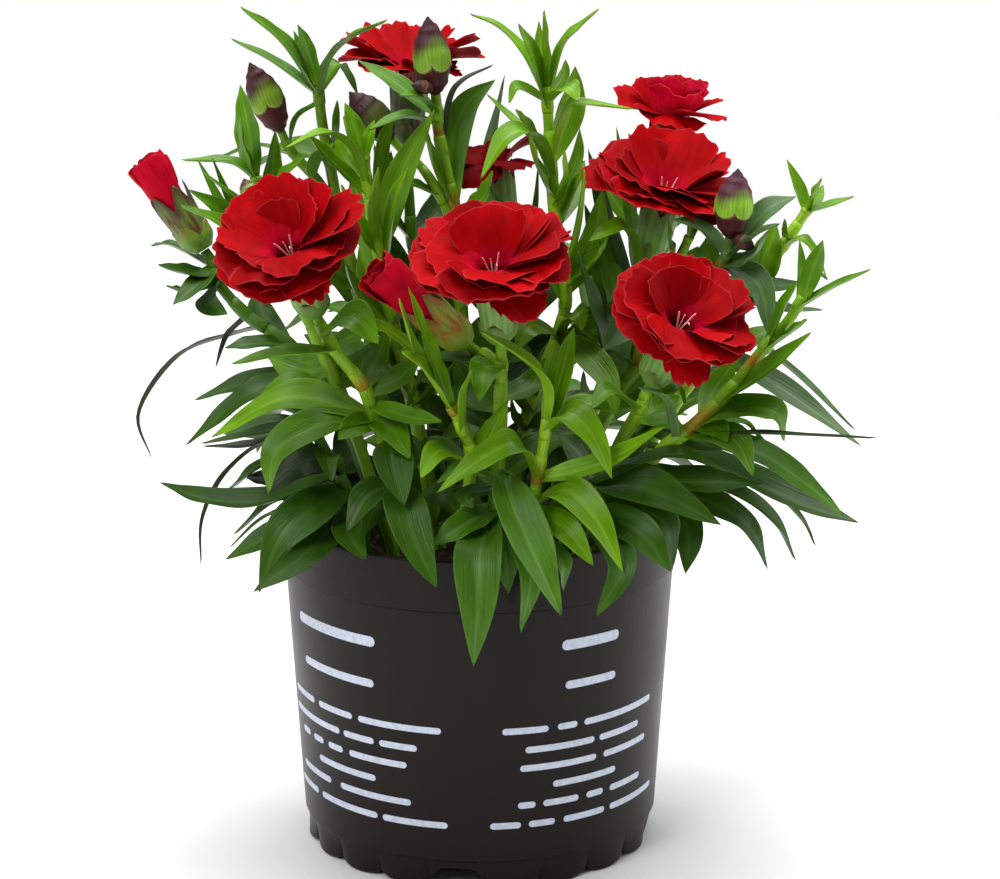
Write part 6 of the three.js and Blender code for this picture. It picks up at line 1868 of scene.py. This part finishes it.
class Shader:
    """Builds one material's node tree around its surface shader."""

    def __init__(self, name, **numbers):
        self.material = bpy.data.materials.new(name)
        self.material.use_nodes = True
        self.nodes = self.material.node_tree.nodes
        self.links = self.material.node_tree.links
        self.surface = self.nodes["Principled BSDF"]
        for socket, value in numbers.items():
            self.surface.inputs[socket.replace("_", " ")].default_value = value

    def node(self, kind, inputs=None, **settings):
        made = self.nodes.new(kind)
        for key, value in settings.items():
            setattr(made, key, value)
        for socket, value in (inputs or {}).items():
            if isinstance(value, bpy.types.NodeSocket):
                self.links.new(value, made.inputs[socket])
            else:
                made.inputs[socket].default_value = value
        return made

    def attribute(self, name):
        return self.node("ShaderNodeAttribute", attribute_name=name).outputs["Vector"]

    def place(self):
        """Where a point of the object is, in metres."""
        return self.node("ShaderNodeTexCoord").outputs["Object"]

    def speckle(self, coordinates, scale, stretch=(1, 1, 1), detail=3):
        """Noise from 0 to 1, stretched along each direction of its coordinates."""
        mapped = self.node("ShaderNodeMapping", {"Vector": coordinates, "Scale": stretch}).outputs["Vector"]
        made = self.node("ShaderNodeTexNoise", {"Vector": mapped, "Scale": scale, "Detail": detail})
        return made.outputs["Fac"]

    def ranged(self, value, low, high, reached=(0.3, 0.7)):
        """Spreads the stretch that a speckle's values reach over the range from low to high."""
        made = self.node("ShaderNodeMapRange", {
            "Value": value, "From Min": reached[0], "From Max": reached[1], "To Min": low, "To Max": high,
        })
        return made.outputs["Result"]

    def scaled(self, colour, factor):
        made = self.node("ShaderNodeVectorMath", {0: colour}, operation="SCALE")
        self.links.new(factor, made.inputs["Scale"])
        return made.outputs["Vector"]

    def colour(self, *factors):
        """The mesh's own tint, times each factor."""
        shade = self.attribute("tint")
        for factor in factors:
            shade = self.scaled(shade, factor)
        self.links.new(shade, self.surface.inputs["Base Color"])

    def roughness(self, socket):
        self.links.new(socket, self.surface.inputs["Roughness"])

    def bump(self, height, distance):
        made = self.node("ShaderNodeBump", {"Height": height, "Distance": distance, "Strength": 1})
        self.links.new(made.outputs["Normal"], self.surface.inputs["Normal"])


def leaf_material():
    shader = Shader("leaf", Specular_IOR_Level=0.28)
    grain = shader.attribute("grain")
    veins = shader.speckle(grain, scale=1.2, stretch=(1.9, 0.05, 1))
    patches = shader.speckle(grain, scale=1, stretch=(0.25, 0.12, 1), detail=2)
    shader.colour(shader.ranged(veins, low=0.82, high=1.14), shader.ranged(patches, low=0.82, high=1.16))
    shader.roughness(shader.ranged(patches, low=0.3, high=0.42))
    shader.bump(veins, distance=0.00022)
    return shader.material


def petal_material():
    shader = Shader("petal", Roughness=0.6, Specular_IOR_Level=0.04)
    grain = shader.attribute("grain")
    veins = shader.speckle(grain, scale=1, stretch=(1.5, 0.12, 1))
    clouds = shader.speckle(grain, scale=0.8, stretch=(0.3, 0.2, 1), detail=1)
    shader.colour(shader.ranged(veins, low=0.86, high=1.1), shader.ranged(clouds, low=0.85, high=1.12))
    shader.bump(veins, distance=0.0002)
    return shader.material


def bud_material(name):
    shader = Shader(name, Roughness=0.5, Specular_IOR_Level=0.4)
    streaks = shader.speckle(shader.attribute("grain"), scale=1, stretch=(2.6, 0.12, 1))
    shader.colour(shader.ranged(streaks, low=0.75, high=1.25))
    shader.bump(streaks, distance=0.00015)
    return shader.material


def plastic_material():
    shader = Shader("pot_plastic", Specular_IOR_Level=0.17)
    haze = shader.speckle(shader.place(), scale=30)
    fine = shader.speckle(shader.place(), scale=900, stretch=(1, 1, 0.5), detail=1)
    shader.colour(shader.ranged(haze, low=0.9, high=1.12))
    shader.roughness(shader.ranged(haze, low=0.3, high=0.4))
    shader.bump(fine, distance=0.00003)
    return shader.material


def ink_material():
    shader = Shader("print_ink", Roughness=0.5)
    wear = shader.speckle(shader.place(), scale=700, detail=2)
    shader.colour(shader.ranged(wear, low=0.84, high=1.04, reached=(0.3, 0.6)))
    return shader.material


def peat_material():
    shader = Shader("peat", Roughness=0.95, Specular_IOR_Level=0.2)
    crumbs = shader.speckle(shader.place(), scale=420, detail=6)
    shader.colour(shader.ranged(crumbs, low=0.5, high=1.6))
    shader.bump(crumbs, distance=0.0012)
    return shader.material


# ---------------------------------------------------------------- the plant

def leaf_tone_and_painted_shade(leaf, rng):
    """How bright a leaf is against its tone: each differs a little at random, and those deep inside get
    painted shade.
    """
    middle = seen(leaf[3][0])
    # Painted shade for leaves deep inside the plant: darker nearer its axis and lower down.
    painted_shade = 1 - smooth((Vector((middle.x, middle.y)).length - PAINTED_INNER_SHADE["reach"]) / PAINTED_INNER_SHADE["fade"])
    painted_shade *= 1 - smooth((middle.z - PAINTED_INNER_SHADE["height"]) / PAINTED_INNER_SHADE["fade"])
    return rng.uniform(*LEAF_SHADES) * mix(1, PAINTED_INNER_SHADE["shade"], painted_shade)


def grow(name, rows, material, rng):
    """One grown piece: its stems, the sheaths at their joints and its leaves."""
    mesh = Mesh()
    trunk = None
    stem_tone = darkened_tone(TONES[SHOOT_TONES[name]], STEM_SHADES.get(name, 1))
    for stem_number, row in enumerate(rows):
        stem = Stem(row, trunk)
        trunk = trunk or stem
        rusty_joints = RUSTY_JOINTS.get(name, []) if stem is trunk else []
        add_stem(mesh, stem, stem_tone, rusty_joints)
        for at in stem.joints:
            rusty = any(abs(at - joint) < RUSTY_NEAR for joint in rusty_joints)
            add_sheath(mesh, stem, at, stem_tone, rusty)
        for leaf_number, leaf in enumerate(row["leaves"]):
            tone = TONES[LEAF_TONES.get((name, stem_number, leaf_number), SHOOT_TONES[name])]
            add_leaf(mesh, leaf_path(stem, leaf), leaf, darkened_tone(tone, leaf_tone_and_painted_shade(leaf, rng)), rng)
    mesh.piece(name + "_grown", name, "foliage", material)


def make_flower(name, materials, rng):
    axis = axis_of("flower", name)
    calyx = Mesh()
    colours = DARK_CALYX if name in DARK_CALYX_FLOWERS else FLOWER_CALYX
    add_calyx(calyx, axis, CALYX["length"], CALYX["tooth"], colours, rng)
    calyx.piece("ribbed_calyx_" + name, "calyx_" + name, "calyx", materials["calyx"])
    outer = OUTER_BY_FLOWER.get(name, OUTER_WHORLS)
    inner = INNER_BY_FLOWER.get(name, INNER_WHORLS)
    look = PETAL_LOOKS.get(name, PETAL_LOOK)
    for kind, whorls, singles in (("outer", outer, OUTER_SINGLES), ("inner", inner, INNER_SINGLES)):
        petals = Mesh()
        whorl_petals(petals, axis, FLOWERS[name]["spread"], whorls, look, rng)
        single_petals(petals, axis, FLOWERS[name]["spread"], singles.get(name, []), look, rng)
        petals.piece(f"{kind}_whorl_{name}", f"{kind}_petals_{name}", "petal", materials["petal"])
    if name in FLOWERS_WITH_OPEN_THROAT:
        pistil = Mesh()
        add_pistil(pistil, axis)
        pistil.piece("styles_" + name, "pistil_" + name, "pistil", materials["petal"])


def make_opening_bud(name, materials, rng):
    axis = axis_of("opening_bud", name)
    calyx = Mesh()
    add_calyx(calyx, axis, BUD_CALYX["length"], BUD_CALYX["tooth"], BUD_CALYX_COLOURS[name], rng)
    calyx.piece(f"ribbed_calyx_{name}_bud", f"calyx_{name}_bud", "calyx", materials["calyx"])
    petals = Mesh()
    add_rolled_petals(petals, axis, rng)
    petals.piece(f"rolled_petals_{name}_bud", f"petals_{name}_bud", "petal", materials["petal"])


def make_closed_bud(name, materials):
    mesh = Mesh()
    add_closed_bud(mesh, axis_of("closed_bud", name), CLOSED_BUDS[name]["radius"], name)
    if name in WITHERED_BUDS:
        add_closed_bud(mesh, axis_of("withered_bud", name), WITHERED_BUDS[name]["radius"], "withered")
    mesh.piece("striped_bud_" + name, "bud_" + name, "bud", materials["bud"])


# ---------------------------------------------------------------- studio

# The floor, the lights and the camera are placed in metres.
PAPER = {"reach": 1.0, "colour": (0.9, 0.9, 0.9, 1), "roughness": 0.9, "shine": 0.1}
# The area lights: place, aim, size in metres and power in watts.
MIDDLE = (0, 0, 0.12)
LIGHTS = {
    "overhead": {"place": (0, 0.6, 2.6), "aim": (0, 0.3, 0), "size": (2.6, 2.6), "power": 104},
    "key": {"place": (-0.8, -1.1, 1.3), "aim": MIDDLE, "size": (0.7, 0.7), "power": 13},
    "left_strip": {"place": (-1.0, 0.15, 0.25), "aim": MIDDLE, "size": (0.3, 1.2), "power": 1.5},
    "right_strip": {"place": (1.0, 0.15, 0.25), "aim": MIDDLE, "size": (0.3, 1.2), "power": 5},
}
WHITE = (1, 1, 1, 1)
AMBIENT = 0.16  # the studio's soft light from all round; the backdrop itself shows as plain white
CAMERA = {
    "place": (0.0063, -0.835, 0.334), "pitch_down": 0.246, "lens": 101.7, "sensor": 36, "nearest": 0.01,
}


def make_floor():
    """A plain pale floor."""
    reach = PAPER["reach"]
    points = [(-reach, -reach, 0), (reach, -reach, 0), (reach, reach, 0), (-reach, reach, 0)]
    mesh = bpy.data.meshes.new("studio_floor")
    mesh.from_pydata(points, [], [(0, 1, 2, 3)])
    shader = Shader("studio_paper", Roughness=PAPER["roughness"], Specular_IOR_Level=PAPER["shine"])
    shader.surface.inputs["Base Color"].default_value = PAPER["colour"]
    mesh.materials.append(shader.material)
    made = link("studio_floor", mesh)


def add_light(name, place, aim, size, power):
    lamp = bpy.data.lights.new(name, "AREA")
    lamp.shape = "RECTANGLE"
    lamp.size, lamp.size_y = size
    lamp.energy = power
    made = link(name, lamp)
    made.location = place
    made.rotation_euler = (Vector(aim) - Vector(place)).to_track_quat("-Z", "Y").to_euler()


def set_backdrop():
    """Shows plain white behind everything, and lights the plant from all round far more softly."""
    world = bpy.data.worlds.new("studio")
    world.use_nodes = True
    tree = world.node_tree
    background = tree.nodes["Background"]
    background.inputs["Color"].default_value = WHITE
    behind = tree.nodes.new("ShaderNodeLightPath").outputs["Is Camera Ray"]
    level = tree.nodes.new("ShaderNodeMapRange")
    level.inputs["To Min"].default_value = AMBIENT
    tree.links.new(behind, level.inputs["Value"])
    tree.links.new(level.outputs["Result"], background.inputs["Strength"])
    bpy.context.scene.world = world
    bpy.context.scene.view_settings.view_transform = "Standard"


def set_camera():
    """Looks from the viewing point, a little downwards."""
    lens = bpy.data.cameras.new("camera")
    lens.lens = CAMERA["lens"]
    lens.sensor_width = CAMERA["sensor"]
    lens.clip_start = CAMERA["nearest"]
    camera = link("camera", lens)
    camera.location = CAMERA["place"]
    camera.rotation_euler = (math.pi / 2 - CAMERA["pitch_down"], 0, 0)
    bpy.context.scene.camera = camera


def set_studio():
    make_floor()
    for name, light in LIGHTS.items():
        add_light(name, **light)
    set_backdrop()
    set_camera()


# ---------------------------------------------------------------- building

SEED = 7


def main():
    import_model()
    rng = random.Random(SEED)
    materials = {"petal": petal_material(), "calyx": bud_material("calyx"), "bud": bud_material("bud")}
    leaf = leaf_material()
    make_pot(plastic_material(), ink_material())
    make_soil(peat_material())
    for name, rows in SHOOTS.items():
        grow(name, rows, leaf, rng)
    for name in FLOWERS:
        make_flower(name, materials, rng)
    for name in OPENING_BUDS:
        make_opening_bud(name, materials, rng)
    for name in CLOSED_BUDS:
        make_closed_bud(name, materials)
    set_studio()


main()
